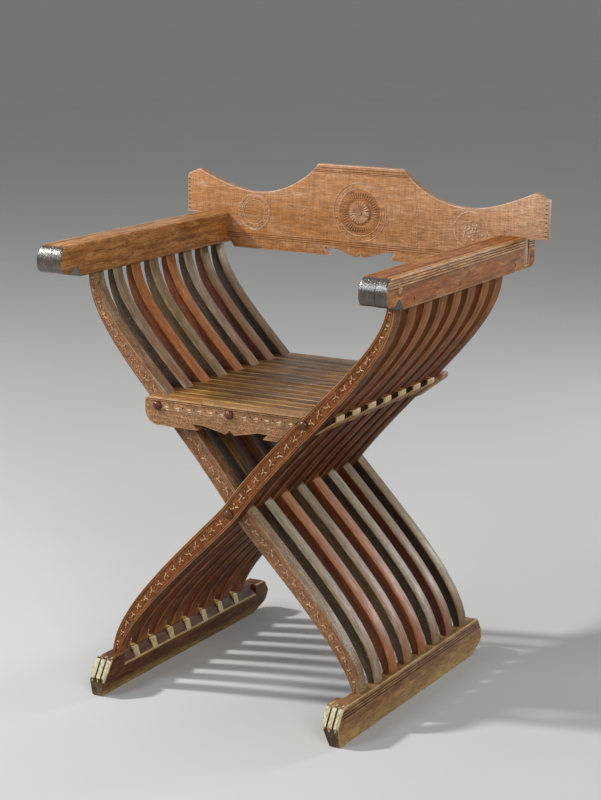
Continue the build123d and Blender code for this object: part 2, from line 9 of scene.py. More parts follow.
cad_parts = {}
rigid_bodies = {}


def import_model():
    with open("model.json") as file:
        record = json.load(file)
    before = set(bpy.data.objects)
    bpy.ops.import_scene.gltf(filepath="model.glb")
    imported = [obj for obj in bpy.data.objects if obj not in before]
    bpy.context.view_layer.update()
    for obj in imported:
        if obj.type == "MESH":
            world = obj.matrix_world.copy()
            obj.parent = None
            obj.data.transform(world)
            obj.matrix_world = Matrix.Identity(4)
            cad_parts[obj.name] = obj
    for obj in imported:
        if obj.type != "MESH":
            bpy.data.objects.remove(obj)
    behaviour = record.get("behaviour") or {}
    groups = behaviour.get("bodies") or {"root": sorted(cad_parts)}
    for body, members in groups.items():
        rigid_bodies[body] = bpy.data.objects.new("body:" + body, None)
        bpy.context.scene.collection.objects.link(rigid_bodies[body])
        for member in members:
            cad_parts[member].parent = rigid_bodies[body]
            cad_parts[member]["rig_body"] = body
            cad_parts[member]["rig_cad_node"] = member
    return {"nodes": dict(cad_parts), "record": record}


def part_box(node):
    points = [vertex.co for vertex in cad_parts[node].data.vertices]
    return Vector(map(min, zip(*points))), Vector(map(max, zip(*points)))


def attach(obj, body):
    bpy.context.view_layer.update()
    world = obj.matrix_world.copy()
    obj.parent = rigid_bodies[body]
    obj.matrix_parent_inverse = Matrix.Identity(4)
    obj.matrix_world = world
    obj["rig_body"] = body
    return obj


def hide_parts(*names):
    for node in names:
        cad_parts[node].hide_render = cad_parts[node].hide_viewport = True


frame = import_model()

bl_info = {
    "name": "Folding Savonarola Armchair",
    "version": (1, 0, 0),
    "blender": (4, 5, 0),
    "location": "View3D > Sidebar > Chair",
    "description": "Staves, slatted seat, carved back board, arms and feet of a folding armchair",
    "category": "Add Mesh",
}

MM = 0.001
WHITE, BLACK = (1, 1, 1), (0, 0, 0)
FACE_FRONT = Matrix.Rotation(math.radians(90), 4, "X")
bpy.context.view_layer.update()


# --- Small helpers -------------------------------------------------------------------------

def linear(code):
    """An sRGB hex colour as linear red, green and blue."""
    channels = [int(code[i:i + 2], 16) / 255 for i in (1, 3, 5)]
    return tuple(c / 12.92 if c <= 0.04045 else ((c + 0.055) / 1.055) ** 2.4 for c in channels)


def colour(name, code, description):
    return FloatVectorProperty(name=name, description=description, subtype="COLOR", size=3,
                               min=0, max=1, default=linear(code))


def length(name, millimetres, description):
    return FloatProperty(name=name, description=description, subtype="DISTANCE", unit="LENGTH",
                         min=0, default=millimetres * MM)


def focus(obj):
    if bpy.context.mode != "OBJECT":
        bpy.ops.object.mode_set(mode="OBJECT")
    bpy.ops.object.select_all(action="DESELECT")
    obj.select_set(True)
    bpy.context.view_layer.objects.active = obj


def start_edit(obj, kind="FACE", whole=False):
    """Edit mode, with nothing or everything selected."""
    focus(obj)
    bpy.ops.object.mode_set(mode="EDIT")
    bpy.ops.mesh.select_mode(type=kind)
    bpy.ops.mesh.select_all(action="SELECT" if whole else "DESELECT")


def end_edit():
    bpy.ops.object.mode_set(mode="OBJECT")


def pick(obj, part, keep):
    """In edit mode, selects only the faces, edges or verts that keep accepts."""
    bpy.ops.mesh.select_all(action="DESELECT")
    shape = bmesh.from_edit_mesh(obj.data)
    found = 0
    for item in getattr(shape, part):
        if keep(item):
            item.select_set(True)
            found += 1
    shape.select_flush_mode()
    bmesh.update_edit_mesh(obj.data)
    return found


def settle(obj):
    """Moves the object's place into its mesh, so that it sits at the origin, unturned."""
    focus(obj)
    bpy.ops.object.transform_apply(location=True, rotation=True, scale=True)
    return obj


def made(name):
    """The object that was just made, named and settled."""
    obj = bpy.context.active_object
    obj.name = name
    return settle(obj)


def hang(obj, place):
    """Turns carving that was laid out flat to face the front, at its place."""
    obj.matrix_world = Matrix.Translation(place) @ FACE_FRONT
    return settle(obj)


def apply_modifier(obj, kind, **settings):
    focus(obj)
    modifier = obj.modifiers.new(kind.title(), kind)
    for key, value in settings.items():
        setattr(modifier, key, value)
    bpy.ops.object.modifier_apply(modifier=modifier.name)


def twin(obj, name):
    """A copy with its own mesh."""
    focus(obj)
    bpy.ops.object.duplicate()
    copy = bpy.context.active_object
    copy.name = name
    copy.data.name = name
    return copy


def join(parts, name):
    focus(parts[0])
    for part in parts:
        part.select_set(True)
    bpy.ops.object.join()
    whole = bpy.context.active_object
    whole.name = name
    whole.data.name = name
    return whole


def turn_outwards(obj):
    start_edit(obj, whole=True)
    bpy.ops.mesh.normals_make_consistent(inside=False)
    end_edit()


def dress(obj, *materials):
    obj.data.materials.clear()
    for material in materials:
        obj.data.materials.append(material)


def paint(piece, index, accepts):
    """Gives the material at index to the faces whose centre and normal are accepted."""
    for polygon in piece.data.polygons:
        if accepts(polygon.center, polygon.normal):
            polygon.material_index = index


def smooth(obj, degrees=35):
    focus(obj)
    bpy.ops.object.shade_smooth_by_angle(angle=math.radians(degrees))


def seat_on(obj, body, slot, *nodes):
    """Rides on a body and stands for the nodes given; the slot is not used."""
    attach(obj, body)
    if nodes:
        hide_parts(*nodes)


def finish_carving(obj, material, body, slot, degrees=0):
    """Turns added carving outwards, dresses it, smooths it up to an angle and seats it."""
    turn_outwards(obj)
    dress(obj, material)
    if degrees:
        smooth(obj, degrees)
    seat_on(obj, body, slot)


MERGE_DISTANCE = 0.02 * MM
FLAT_DEGREES = 0.6       # faces that meet at less than this become one
SHARP_DEGREES = 38       # edges sharper than this are rounded
FACING = 0.9             # a normal counts as along an axis from this share on


def rounded_copy(node, rounding, materials, segments=2, crisp=None):
    """Copy of a CAD node as one merged shell with worn, rounded edges; the rounded edges get
    the second material. Inside corners stay sharp, and so do the edges that crisp accepts by
    their middle and length."""
    piece = twin(frame["nodes"][node], node + "_wood")
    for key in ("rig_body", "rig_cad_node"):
        del piece[key]
    piece.parent = None
    bpy.ops.mesh.customdata_custom_splitnormals_clear()
    start_edit(piece, whole=True)
    bpy.ops.mesh.remove_doubles(threshold=MERGE_DISTANCE)
    bpy.ops.mesh.dissolve_limited(angle_limit=math.radians(FLAT_DEGREES))
    bpy.ops.mesh.select_mode(type="EDGE")

    def wears(edge):
        middle = (edge.verts[0].co + edge.verts[1].co) / 2
        return (edge.is_manifold and edge.calc_face_angle_signed(0) > math.radians(SHARP_DEGREES)
                and not (crisp and crisp(middle, edge.calc_length())))

    pick(piece, "edges", wears)
    bpy.ops.transform.edge_bevelweight(value=1)
    end_edit()
    dress(piece, *materials)
    paint(piece, 0, lambda centre, normal: True)
    apply_modifier(piece, "BEVEL", width=rounding, segments=segments, limit_method="WEIGHT",
                   use_clamp_overlap=False, material=1 if len(materials) > 1 else -1,
                   miter_outer="MITER_ARC")
    smooth(piece)
    return piece


def cut_line(piece, normal, low, high, keep, push):
    """Cuts a groove: the strip between two parallel planes, on the faces that keep accepts,
    is pushed in."""
    start_edit(piece)
    for place in (low, high):
        bpy.ops.mesh.select_all(action="SELECT")
        bpy.ops.mesh.bisect(plane_co=[place * n for n in normal], plane_no=normal)
    axis = Vector(normal)
    if not pick(piece, "faces", lambda f: low < f.calc_center_median().dot(axis) < high and keep(f)):
        raise RuntimeError(f"no face of {piece.name} lies between {low} and {high}")
    bpy.ops.mesh.extrude_region_move(TRANSFORM_OT_translate={"value": push})
    end_edit()


def front_grooves(piece, front, tops, width, depth):
    """Level grooves below the heights in tops, across a flat front; their floors get the third
    material."""
    for top in tops:
        cut_line(piece, (0, 0, 1), top - width, top, lambda face: face.normal.y < -FACING
                 and face.calc_center_median().y < front + 0.3 * MM, (0, depth, 0))
    paint(piece, 2, lambda c, n: abs(c.y - front - depth) < 0.1 * MM and n.y < -FACING)


# --- Materials -----------------------------------------------------------------------------

def add(tree, kind, settings=None, **links):
    """Adds a node; settings are its properties and socket values, links its inputs."""
    node = tree.nodes.new(kind)
    for key, value in (settings or {}).items():
        if isinstance(key, str) and hasattr(node, key):
            setattr(node, key, value)
        else:
            node.inputs[key].default_value = value
    for key, socket in links.items():
        name = key.replace("_", " ")
        found = node.inputs[int(key[1:])] if key[0] == "i" and key[1:].isdigit() else node.inputs[name]
        tree.links.new(socket, found)
    return node


def tint(first, second, share):
    """A colour between two colours."""
    return tuple(p + (q - p) * share for p, q in zip(first, second))


def mixed(tree, first, second, factor, blend="MIX"):
    """A mix of two colours or sockets; factor is a number or a socket."""
    node = add(tree, "ShaderNodeMix", {"data_type": "RGBA", "blend_type": blend})
    for index, value in ((0, factor), (6, first), (7, second)):
        if isinstance(value, bpy.types.NodeSocket):
            tree.links.new(value, node.inputs[index])
        else:
            node.inputs[index].default_value = (*value, 1) if index else value
    return node.outputs[2]


def ranged(tree, value, start, end, to_start=0.0, to_end=1.0):
    """Stretches the range from start to end to another one, clamped."""
    settings = {"From Min": start, "From Max": end, "To Min": to_start, "To Max": to_end}
    return add(tree, "ShaderNodeMapRange", settings, Value=value).outputs[0]


def noise(tree, place, size, detail=4.0, roughness=0.6, low=0.35, high=0.65, to_low=0.0, to_high=1.0):
    """Noise whose lumps measure size (x, y, z) in millimetres, stretched to the range given."""
    spot = add(tree, "ShaderNodeMapping", {"Scale": [1000 / value for value in size]}, Vector=place)
    field = add(tree, "ShaderNodeTexNoise", {"Scale": 1.0, "Detail": detail, "Roughness": roughness},
                Vector=spot.outputs[0])
    return ranged(tree, field.outputs["Fac"], low, high, to_low, to_high)


def product(tree, first, second):
    return add(tree, "ShaderNodeMath", {"operation": "MULTIPLY"}, i0=first, i1=second).outputs[0]


def facing(tree, axis, low, high):
    """How far the surface faces along an axis: X, -X for the other way or |X for both ways."""
    normal = add(tree, "ShaderNodeTexCoord").outputs["Normal"]
    share = add(tree, "ShaderNodeSeparateXYZ", {}, Vector=normal).outputs[axis[-1]]
    if axis[0] == "-":
        share = add(tree, "ShaderNodeMath", {"operation": "MULTIPLY", 1: -1.0}, i0=share).outputs[0]
    if axis[0] == "|":
        share = add(tree, "ShaderNodeMath", {"operation": "ABSOLUTE"}, i0=share).outputs[0]
    return ranged(tree, share, low, high)


def once(build):
    """Makes a material from the surface that build returns, only when its name is new."""
    def get(name, *arguments, **options):
        material = bpy.data.materials.get(name)
        if not material:
            material = bpy.data.materials.new(name)
            material.use_nodes = True
            tree = material.node_tree
            tree.nodes.clear()
            surface = build(tree, *arguments, **options)
            add(tree, "ShaderNodeOutputMaterial", {}, Surface=surface.outputs[0])
        return material
    return get


@once
def old_walnut(tree, face, dark, pale, along, wear=0.3, sides=None, side_facing="|Y", stipple=False,
               on_stave=False, foot_tone=None, seat_tone=None, under=None, gloss=0.38, shine=0.3,
               tool_marks=False, cap=None, rows=None, fade=None):
    """Old oiled and waxed walnut: dark pores along the grain, brown figure, specks and patches
    that hands and dust have rubbed pale. The sheen of the wax is soft and uneven."""
    if on_stave:
        place = add(tree, "ShaderNodeAttribute", {"attribute_name": "grain"}).outputs["Vector"]
    else:
        place = add(tree, "ShaderNodeTexCoord").outputs["Object"]

    def streaks(across, lengthwise, **stretch):
        size = [across] * 3
        size[along] = lengthwise
        return noise(tree, place, size, **stretch)

    # Figure 8 mm across and 150 mm long; fibre bundles 1.7 mm by 26 mm and pores 1.1 mm by 9 mm,
    # both drawn coarser than real ones so that they show.
    calm = 0.5 if tool_marks else 1.0
    figure = streaks(8, 150, detail=6, roughness=0.65, low=0.36, high=0.66, to_high=0.7 * calm)
    fibre = streaks(1.7, 26, detail=3, low=0.3, high=0.7, to_low=0.62, to_high=1.2)
    pores = streaks(1.1, 9, detail=2, low=0.58, high=0.7)
    worn = streaks(14, 60, detail=6, roughness=0.7, low=0.52 - 0.1 * wear, high=0.72, to_high=0.25 + wear)
    specks = streaks(2.3, 2.3, detail=3, roughness=0.7, low=0.6, high=0.7, to_high=0.2 + 0.5 * wear)
    blotch = streaks(6, 26, detail=7, roughness=0.75, low=0.38, high=0.64, to_low=1 - 0.36 * calm,
                     to_high=1 + 0.15 * calm)
    shade = mixed(tree, face, dark, figure)
    spot = add(tree, "ShaderNodeSeparateXYZ", {}, Vector=place)
    if foot_tone is not None:
        # Bleached and rubbed below the main rod and near the arms; browner at the seat and feet.
        ragged = streaks(9, 70, detail=6, roughness=0.7, low=0.25, high=0.55)
        for tone, spans in ((foot_tone, ((0.30, 0.08),)), (seat_tone, ((0.36, 0.42), (0.79, 0.63)))):
            share = ragged
            for start, end in spans:
                share = product(tree, share, ranged(tree, spot.outputs["X"], start, end, to_end=0.95))
            shade = mixed(tree, shade, tone, share)
    if under is not None:
        # Painted shade with dirt and old varnish: faces turned downwards are darkened towards the under
        # colour, on staves less of it towards the arm.
        dirt = streaks(12, 90, detail=5, low=0.2, high=0.5, to_low=0.6)
        share = product(tree, facing(tree, "-Z", 0.2, 0.6), dirt)
        if on_stave:
            share = product(tree, share, ranged(tree, spot.outputs["X"], 0.76, 0.62, to_end=0.95))
        shade = mixed(tree, shade, under, share)
    if fade is not None:
        # Wear or bleaching that grows along one direction of the piece, in metres.
        axis, start, end, tone, most = fade
        patchy = streaks(16, 70, detail=6, low=0.28, high=0.6, to_low=0.35)
        share = product(tree, ranged(tree, spot.outputs[axis], start, end, to_end=most), patchy)
        shade = mixed(tree, shade, tone, share)
    if rows is not None:
        # Each slat of the seat is its own piece of wood: bands about a slat wide.
        band = noise(tree, place, (900, 31, 900), detail=1, low=0.36, high=0.64, to_high=0.75)
        shade = mixed(tree, shade, rows, band)
    shade = mixed(tree, shade, pale, worn)
    # Painted shade in part: faces turned along side_facing take the sides colour. On carved staves and the
    # rail this is the carved front. On plain staves it is dark varnish and painted shade of the narrow gaps
    # between staves, and on the seat slats it is painted shade between the slats.
    if sides is not None:
        side = mixed(tree, sides, tint(sides, dark, 0.6), figure)
        if stipple:
            mottle = streaks(6, 6, detail=6, roughness=0.75, low=0.42, high=0.66)
            side = mixed(tree, side, tint(sides, pale, 0.3), mottle)
        shade = mixed(tree, shade, side, facing(tree, side_facing, 0.55, 0.85))
    if stipple:
        # Punched ground: pits and burrs about 1.9 mm apart.
        pits = streaks(1.9, 1.9, detail=2, low=0.4, high=0.62, to_low=0.5, to_high=1.3)
        shade = mixed(tree, shade, pits, 1.0, "MULTIPLY")
    shade = mixed(tree, shade, pale, specks)
    for pattern in (fibre, blotch):
        shade = mixed(tree, shade, pattern, 1.0, "MULTIPLY")
    shade = mixed(tree, shade, tint(dark, BLACK, 0.4), product(tree, pores, worn) if on_stave else pores)
    rough = streaks(10, 40, low=0.3, high=0.7, to_low=gloss - 0.07, to_high=gloss + 0.14)
    if cap is not None:
        # The nose is black with handling and almost polished.
        nose = facing(tree, "-Y", 0.3, 0.6)
        grime = noise(tree, place, (5, 7, 12), detail=6, roughness=0.7, low=0.45, high=0.8, to_high=0.5)
        shade = mixed(tree, shade, mixed(tree, cap, tint(cap, face, 0.4), grime), nose)
        rough = add(tree, "ShaderNodeMix", {"data_type": "FLOAT", 3: 0.22}, i0=nose, i2=rough).outputs[0]
    height = add(tree, "ShaderNodeMath", {"operation": "MULTIPLY_ADD", 1: -0.5}, i0=pores,
                 i2=fibre).outputs[0]
    if tool_marks:
        # Upright marks of a toothing plane, about 2.6 mm apart, drawn coarser than real ones.
        marks = noise(tree, place, (2.6, 30, 26), detail=3, low=0.3, high=0.7, to_low=0.76, to_high=1.14)
        shade = mixed(tree, shade, marks, 1.0, "MULTIPLY")
        height = product(tree, height, marks)
    bump = add(tree, "ShaderNodeBump", {"Strength": 0.55, "Distance": (0.7 if stipple else 0.35) * MM},
               Height=height)
    surface = add(tree, "ShaderNodeBsdfPrincipled", {"IOR": 1.5, "Specular IOR Level": shine},
                  Base_Color=shade, Roughness=rough, Normal=bump.outputs[0])
    if cap is not None:
        tree.links.new(ranged(tree, nose, 0.0, 1.0, to_start=0.12), surface.inputs["Specular IOR Level"])
    return surface


@once
def pale_wood(tree, tone, stain):
    """Pale, dry sapwood rubbed smooth: cloudy, with brown dirt in the hollows."""
    place = add(tree, "ShaderNodeTexCoord").outputs["Object"]
    cloud = noise(tree, place, (3.5, 6, 10), detail=6, roughness=0.65, low=0.42, high=0.7)
    fine = noise(tree, place, (1.3, 1.3, 4), detail=2, low=0.3, high=0.7, to_low=0.8, to_high=1.1)
    shade = mixed(tree, mixed(tree, tone, stain, cloud), fine, 1.0, "MULTIPLY")
    bump = add(tree, "ShaderNodeBump", {"Strength": 0.5, "Distance": 0.3 * MM}, Height=fine)
    return add(tree, "ShaderNodeBsdfPrincipled", {"IOR": 1.5}, Base_Color=shade,
               Roughness=ranged(tree, cloud, 0.0, 1.0, 0.4, 0.65), Normal=bump.outputs[0])


@once
def matt_paper(tree, tone):
    """Plain paper, very slightly mottled."""
    place = add(tree, "ShaderNodeTexCoord").outputs["Object"]
    mottle = add(tree, "ShaderNodeTexNoise", {"Scale": 3.0, "Detail": 2.0}, Vector=place)
    shade = mixed(tree, tone, tint(tone, BLACK, 0.06), mottle.outputs["Fac"])
    return add(tree, "ShaderNodeBsdfPrincipled", {"Roughness": 0.9}, Base_Color=shade)


def shaded_hollow():
    """Painted shade with dirt and old varnish in grooves and pockets: dark, dull, a little streaky."""
    f = bpy.context.scene.chair_finish
    return old_walnut("sooty_walnut", f.hollow, tint(f.hollow, BLACK, 0.4), f.umber, along=1, wear=0.1,
                      gloss=0.55)


# --- Settings ------------------------------------------------------------------------------

class ChairFinishSettings(bpy.types.PropertyGroup):
    carved: colour("Carved ground", "#8A5330", "Ground of the carved staves and the front rail")
    sprig: colour("Sprigs", "#D8B585", "Rubbed high points of the carving")
    # Umber, and the red and slate sides below, also darken the stave faces that face the next stave: dark
    # varnish and painted shade of the narrow gaps.
    umber: colour("Umber", "#3B2012", "Dark varnish between the staves and dark figure")
    brown: colour("Brown stave", "#94603A", "Outer faces of the brown staves")
    russet: colour("Russet stave", "#AC6229", "Outer faces of the red staves")
    silver: colour("Silvered stave", "#A39679", "Outer faces of the bleached staves")
    straw: colour("Straw stave", "#9A835C", "Outer faces of the straw-coloured staves")
    rose: colour("Rose stave", "#B47542", "Outer faces of the pink staves")
    olive: colour("Olive stave", "#86693F", "Outer faces of the green-brown staves")
    red_side: colour("Red side", "#522412", "Sides of the red and pink staves")
    slate_side: colour("Slate side", "#2E221A", "Sides of the bleached staves")
    board: colour("Board", "#B07A4A", "Back board")
    board_dark: colour("Board figure", "#9A6238", "Dark figure of the back board")
    board_pale: colour("Board wear", "#C6A283", "Rubbed parts of the back board")
    seat: colour("Seat", "#99662F", "Seat slats")
    seat_dark: colour("Seat figure", "#3E240F", "Dark figure of the seat slats")
    seat_pale: colour("Seat wear", "#C4954F", "Rubbed edges of the seat slats")
    arm: colour("Arm", "#BE6F2A", "Arms")
    arm_dark: colour("Arm figure", "#6E3C1A", "Dark figure of the arms")
    # arm_pale also gives a painted golden highlight on the arms' reeds and rounded outer edges.
    arm_pale: colour("Arm wear", "#DCAE70", "Rubbed edges and reeds of the arms")
    arm_cap: colour("Arm cap", "#2B2927", "Handled noses of the arms")
    foot: colour("Foot", "#9A6D46", "Feet")
    foot_dark: colour("Foot figure", "#5A3B25", "Dark figure of the feet")
    foot_pale: colour("Foot wear", "#C8A86C", "Rubbed edges of the feet")
    toe: colour("Toes", "#BFB897", "Pale toes")
    toe_dirt: colour("Toe dirt", "#7A6C4C", "Dirt on the toes")
    chock: colour("Wedges", "#C2B284", "Pale wedges between the staves")
    head: colour("Rod heads", "#6A3520", "Turned heads of the rods")
    # The hollow colour is also painted shade: between the seat slats, in grooves and on the dark punched
    # eyes.
    hollow: colour("Hollows", "#2A180D", "Pockets and deep grooves")


class ChairStaveSettings(bpy.types.PropertyGroup):
    pivot_height: length("Pivot height", 331, "Main rod above the floor")
    arm_joint_x: length("Arm joint", 276.6, "Stave centre at the arm, from the middle")
    arm_joint_z: length("Arm underside", 691, "Underside of the arms above the floor")
    foot_joint_x: length("Foot joint", 217, "Stave centre at the foot, from the middle")
    foot_joint_z: length("Foot top", 62, "Top of the feet above the floor")
    middle_width: length("Middle width", 30, "Stave width at the main rod")
    arm_width: length("Arm end width", 12, "Stave width at the arm")
    foot_width: length("Foot end width", 13, "Stave width at the foot")
    rounding: length("Edge rounding", 1.5, "Worn rounding of the long edges")
    stations: IntProperty(name="Stations", description="Cuts along a stave", default=72, min=12, max=200)
    motif_pitch: length("Motif pitch", 20.5, "Spacing of the carved sprigs")


class ChairSeatSettings(bpy.types.PropertyGroup):
    rounding: length("Edge rounding", 2.0, "Worn rounding of the slats")
    dash_pitch: length("Dash pitch", 20.5, "Spacing of the carved dashes on the rail")


class ChairFootSettings(bpy.types.PropertyGroup):
    rounding: length("Edge rounding", 2.2, "Worn rounding of the feet")
    toe_radius: length("Toe radius", 3.6, "Half width of a toe")
    line_width: length("Line width", 2.0, "Width of the incised lines")


class ChairArmSettings(bpy.types.PropertyGroup):
    rounding: length("Edge rounding", 3.0, "Worn rounding of the arms")
    nose_radius: length("Nose radius", 17, "Rounding of the arm's front end")
    line_width: length("Line width", 1.6, "Width of the reeding's grooves")
    line_pitch: length("Line pitch", 4.2, "Spacing of the reeding's grooves")


class ChairBoardSettings(bpy.types.PropertyGroup):
    rounding: length("Edge rounding", 1.6, "Worn rounding of the board")
    line_width: length("Line width", 1.0, "Width of the incised lines")
    rosette_height: length("Rosette height", 763, "Centre of the rosette above the floor")
    rosette_radius: length("Rosette radius", 20.5, "Radius of the fluted dome")
    roundel_height: length("Roundel height", 749, "Centre of the side roundels above the floor")
    roundel_x: length("Roundel place", 209, "Roundel centre from the middle")


class ChairStageSettings(bpy.types.PropertyGroup):
    floor: colour("Floor", "#C3C6C9", "Plain pale floor")
    focal_px: FloatProperty(name="Focal length", description="Focal length in image pixels", default=2070.6)
    azimuth: FloatProperty(name="Azimuth", description="Camera azimuth in degrees", default=28.65)
    elevation: FloatProperty(name="Elevation", description="Camera elevation in degrees", default=12.59)
    roll: FloatProperty(name="Roll", description="Camera roll in degrees", default=0.69)


# --- Staves --------------------------------------------------------------------------------

PIVOT_SLOPE_UP, PIVOT_SLOPE_DOWN = 54.0, 46.0
ARM_SLOPE, FOOT_SLOPE = 90.0, 82.0
ARM_HALF_PULL, ARM_END_PULL = 190.0, 92.0
FOOT_HALF_PULL, FOOT_END_PULL = 130.0, 70.0
STAVE_TAPER = 2.5
STUB = 6.0


def stave_knots(s):
    """Bezier points of a stave's centre line from foot to arm, each as handle, point, handle."""
    def along(point, pull, degrees):
        a = math.radians(degrees)
        return Vector((point[0] + pull * MM * math.cos(a), point[1] + pull * MM * math.sin(a), 0))
    foot = Vector((-s.foot_joint_x, s.foot_joint_z, 0))
    pivot = Vector((0, s.pivot_height, 0))
    arm = Vector((s.arm_joint_x, s.arm_joint_z, 0))
    foot_stub = along(foot, -STUB, FOOT_SLOPE)
    arm_stub = along(arm, STUB, ARM_SLOPE)
    return [
        (foot_stub, foot_stub, foot_stub.lerp(foot, 1 / 3)),
        (foot_stub.lerp(foot, 2 / 3), foot, along(foot, FOOT_END_PULL, FOOT_SLOPE)),
        (along(pivot, -FOOT_HALF_PULL, PIVOT_SLOPE_DOWN), pivot,
         along(pivot, ARM_HALF_PULL, PIVOT_SLOPE_UP)),
        (along(arm, -ARM_END_PULL, ARM_SLOPE), arm, arm.lerp(arm_stub, 1 / 3)),
        (arm.lerp(arm_stub, 2 / 3), arm_stub, arm_stub),
    ]


def stave_widths(s):
    """Total length, and a function from the distance along the stave to its width there."""
    table, total, last = [(0.0, s.foot_width)], 0.0, None
    knots = stave_knots(s)
    for index in range(4):
        a, b, c, d = knots[index][1], knots[index][2], knots[index + 1][0], knots[index + 1][1]
        for step in range(101):
            u = step / 100
            point = a * (1 - u) ** 3 + b * 3 * u * (1 - u) ** 2 + c * 3 * u * u * (1 - u) + d * u ** 3
            if last is not None:
                total += (point - last).length
            last = point
            from_pivot = (1, 1 - u, u, 1)[index]
            end = s.foot_width if index < 2 else s.arm_width
            table.append((total, end + (s.middle_width - end) * (1 - from_pivot ** STAVE_TAPER)))
    def width(distance):
        for (low, w_low), (high, w_high) in zip(table, table[1:]):
            if distance <= high:
                return w_low + (w_high - w_low) * (distance - low) / max(high - low, 1e-9)
        return table[-1][1]
    return total, width


def chip(name, place, size, turn, corners=6):
    """A small raised chip of the carving, in millimetres: low, flat-topped, longer than wide."""
    bpy.ops.mesh.primitive_cone_add(
        vertices=corners, radius1=1, radius2=0.55, depth=1, rotation=(0, 0, turn),
        location=[value * MM for value in place], scale=[value * MM for value in size])
    return made(name)


def chip_circle(name, count, radius, size, rise=0.0, slant=0.0):
    """Chips around a circle, in millimetres, turned by slant from pointing outwards."""
    chips = []
    for number in range(count):
        turn = 2 * math.pi * number / count
        place = (radius * math.cos(turn), radius * math.sin(turn), rise)
        chips.append(chip(name, place, size, turn + slant))
    return chips


def sprig_row(total, width, top, pitch):
    """Sprigs along a straight stave: a short stem, a fork of two leaves and a berry."""
    # Place along and across, half length, half width and height, and turn in degrees
    strokes = (
        ((-1.6, 0.4), (4.4, 1.2, 2.0), 10),
        ((3.6, 2.9), (3.9, 1.3, 2.0), 64),
        ((4.2, -2.6), (2.7, 1.1, 1.8), -55),
        ((-5.4, -3.0), (1.3, 1.1, 1.5), 40),
    )
    chips = []
    count = int(total / pitch)
    for index in range(1, count):
        x = index * total / count
        room = (width(x) - 8.5 * MM) / (21.5 * MM)
        if room < 0.1:
            continue
        side = 1 if index % 2 else -1
        wide = max(room, 0.28)
        for number, ((dx, dy), (half_length, half_width, rise), degrees) in enumerate(strokes):
            # Cut by hand: no two sprigs are quite alike.
            slip = math.sin(index * 12.9 + number * 7.3)
            swing = math.sin(index * 5.1 + number * 3.7)
            place = (x / MM + dx + 0.9 * slip, side * (dy + 0.7 * swing) * wide, top / MM + 0.25)
            size = (half_length * min(1, wide + 0.25) * (1 + 0.22 * swing),
                    half_width * (1 + 0.2 * slip), rise)
            chips.append(chip("chip", place, size, math.radians(side * degrees + 16 * slip)))
    return chips


def straight_stave(s, name, carved):
    """A stave before it is bent: a straight bar, tapered to both ends, with rounded edges."""
    total, width = stave_widths(s)
    low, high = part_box("stave_a_2")
    thickness = high.y - low.y
    bpy.ops.mesh.primitive_cube_add(size=1, location=(total / 2, 0, 0),
                                    scale=(total, s.middle_width, thickness))
    bar = made(name)

    def pick_long_edges(least):
        start_edit(bar, "EDGE")
        pick(bar, "edges", lambda e: abs((e.verts[0].co - e.verts[1].co).x) > least)

    pick_long_edges(total / 2)
    bpy.ops.mesh.subdivide(number_cuts=s.stations)
    end_edit()
    for vertex in bar.data.vertices:
        vertex.co.y *= width(vertex.co.x) / s.middle_width
    station = total / (s.stations + 1)
    pick_long_edges(station / 2)
    bpy.ops.mesh.bevel(offset=s.rounding, offset_type="OFFSET", segments=2, profile=0.5, affect="EDGES")
    end_edit()
    wood, edge, chips = stave_materials("carved")
    dress(bar, wood, edge, chips)
    paint(bar, 1, lambda centre, normal: max(map(abs, normal)) < 0.985)
    if carved:
        # A V-groove and a rubbed bead run along both edges; the ground between is cut lower.
        start_edit(bar)
        pick(bar, "faces", lambda f: f.normal.z > 0.99)
        bands = ((1.0, 0, 0), (0.45, -0.9, 0), (0.45, 0.9, 1), (0.9, 0, 0), (0.5, -0.9, 0))
        for thickness_mm, depth_mm, slot in bands:
            bpy.ops.mesh.inset(thickness=thickness_mm * MM, depth=depth_mm * MM)
            bar.active_material_index = slot
            bpy.ops.object.material_slot_assign()
        end_edit()
        ground = thickness / 2 - 0.9 * MM
        leaves = join(sprig_row(total, width, ground, s.motif_pitch), name + "_sprigs")
        dress(leaves, chips)
        bar = join([bar, leaves], name)
    grain = bar.data.attributes.new("grain", "FLOAT_VECTOR", "POINT")
    grain.data.foreach_set("vector", [c for v in bar.data.vertices for c in v.co])
    return bar


def bend_stave(s, bar):
    """Bends the bar along the stave's centre line and stands it up, front face to -Y."""
    bpy.ops.curve.primitive_bezier_curve_add(location=(0, 0, 0))
    line = bpy.context.active_object
    line.data.dimensions = "2D"
    line.data.resolution_u = 64
    line.data.use_stretch = True
    line.data.use_deform_bounds = True
    points = line.data.splines[0].bezier_points
    knots = stave_knots(s)
    points.add(len(knots) - len(points))
    for point, (before, place, after) in zip(points, knots):
        point.handle_left_type = point.handle_right_type = "FREE"
        point.co, point.handle_left, point.handle_right = place, before, after
    bpy.context.view_layer.update()
    apply_modifier(bar, "CURVE", object=line, deform_axis="POS_X")
    bpy.data.objects.remove(line)
    bar.rotation_euler = (math.radians(90), 0, 0)
    settle(bar)
    turn_outwards(bar)
    return bar


STAVE_TONES_A = ("carved_brown", "brown", "tan", "brown", "tan", "brown", "tan", "rear")
STAVE_TONES_B = ("carved", "silver", "rose", "straw", "rose", "silver", "olive", "umber")


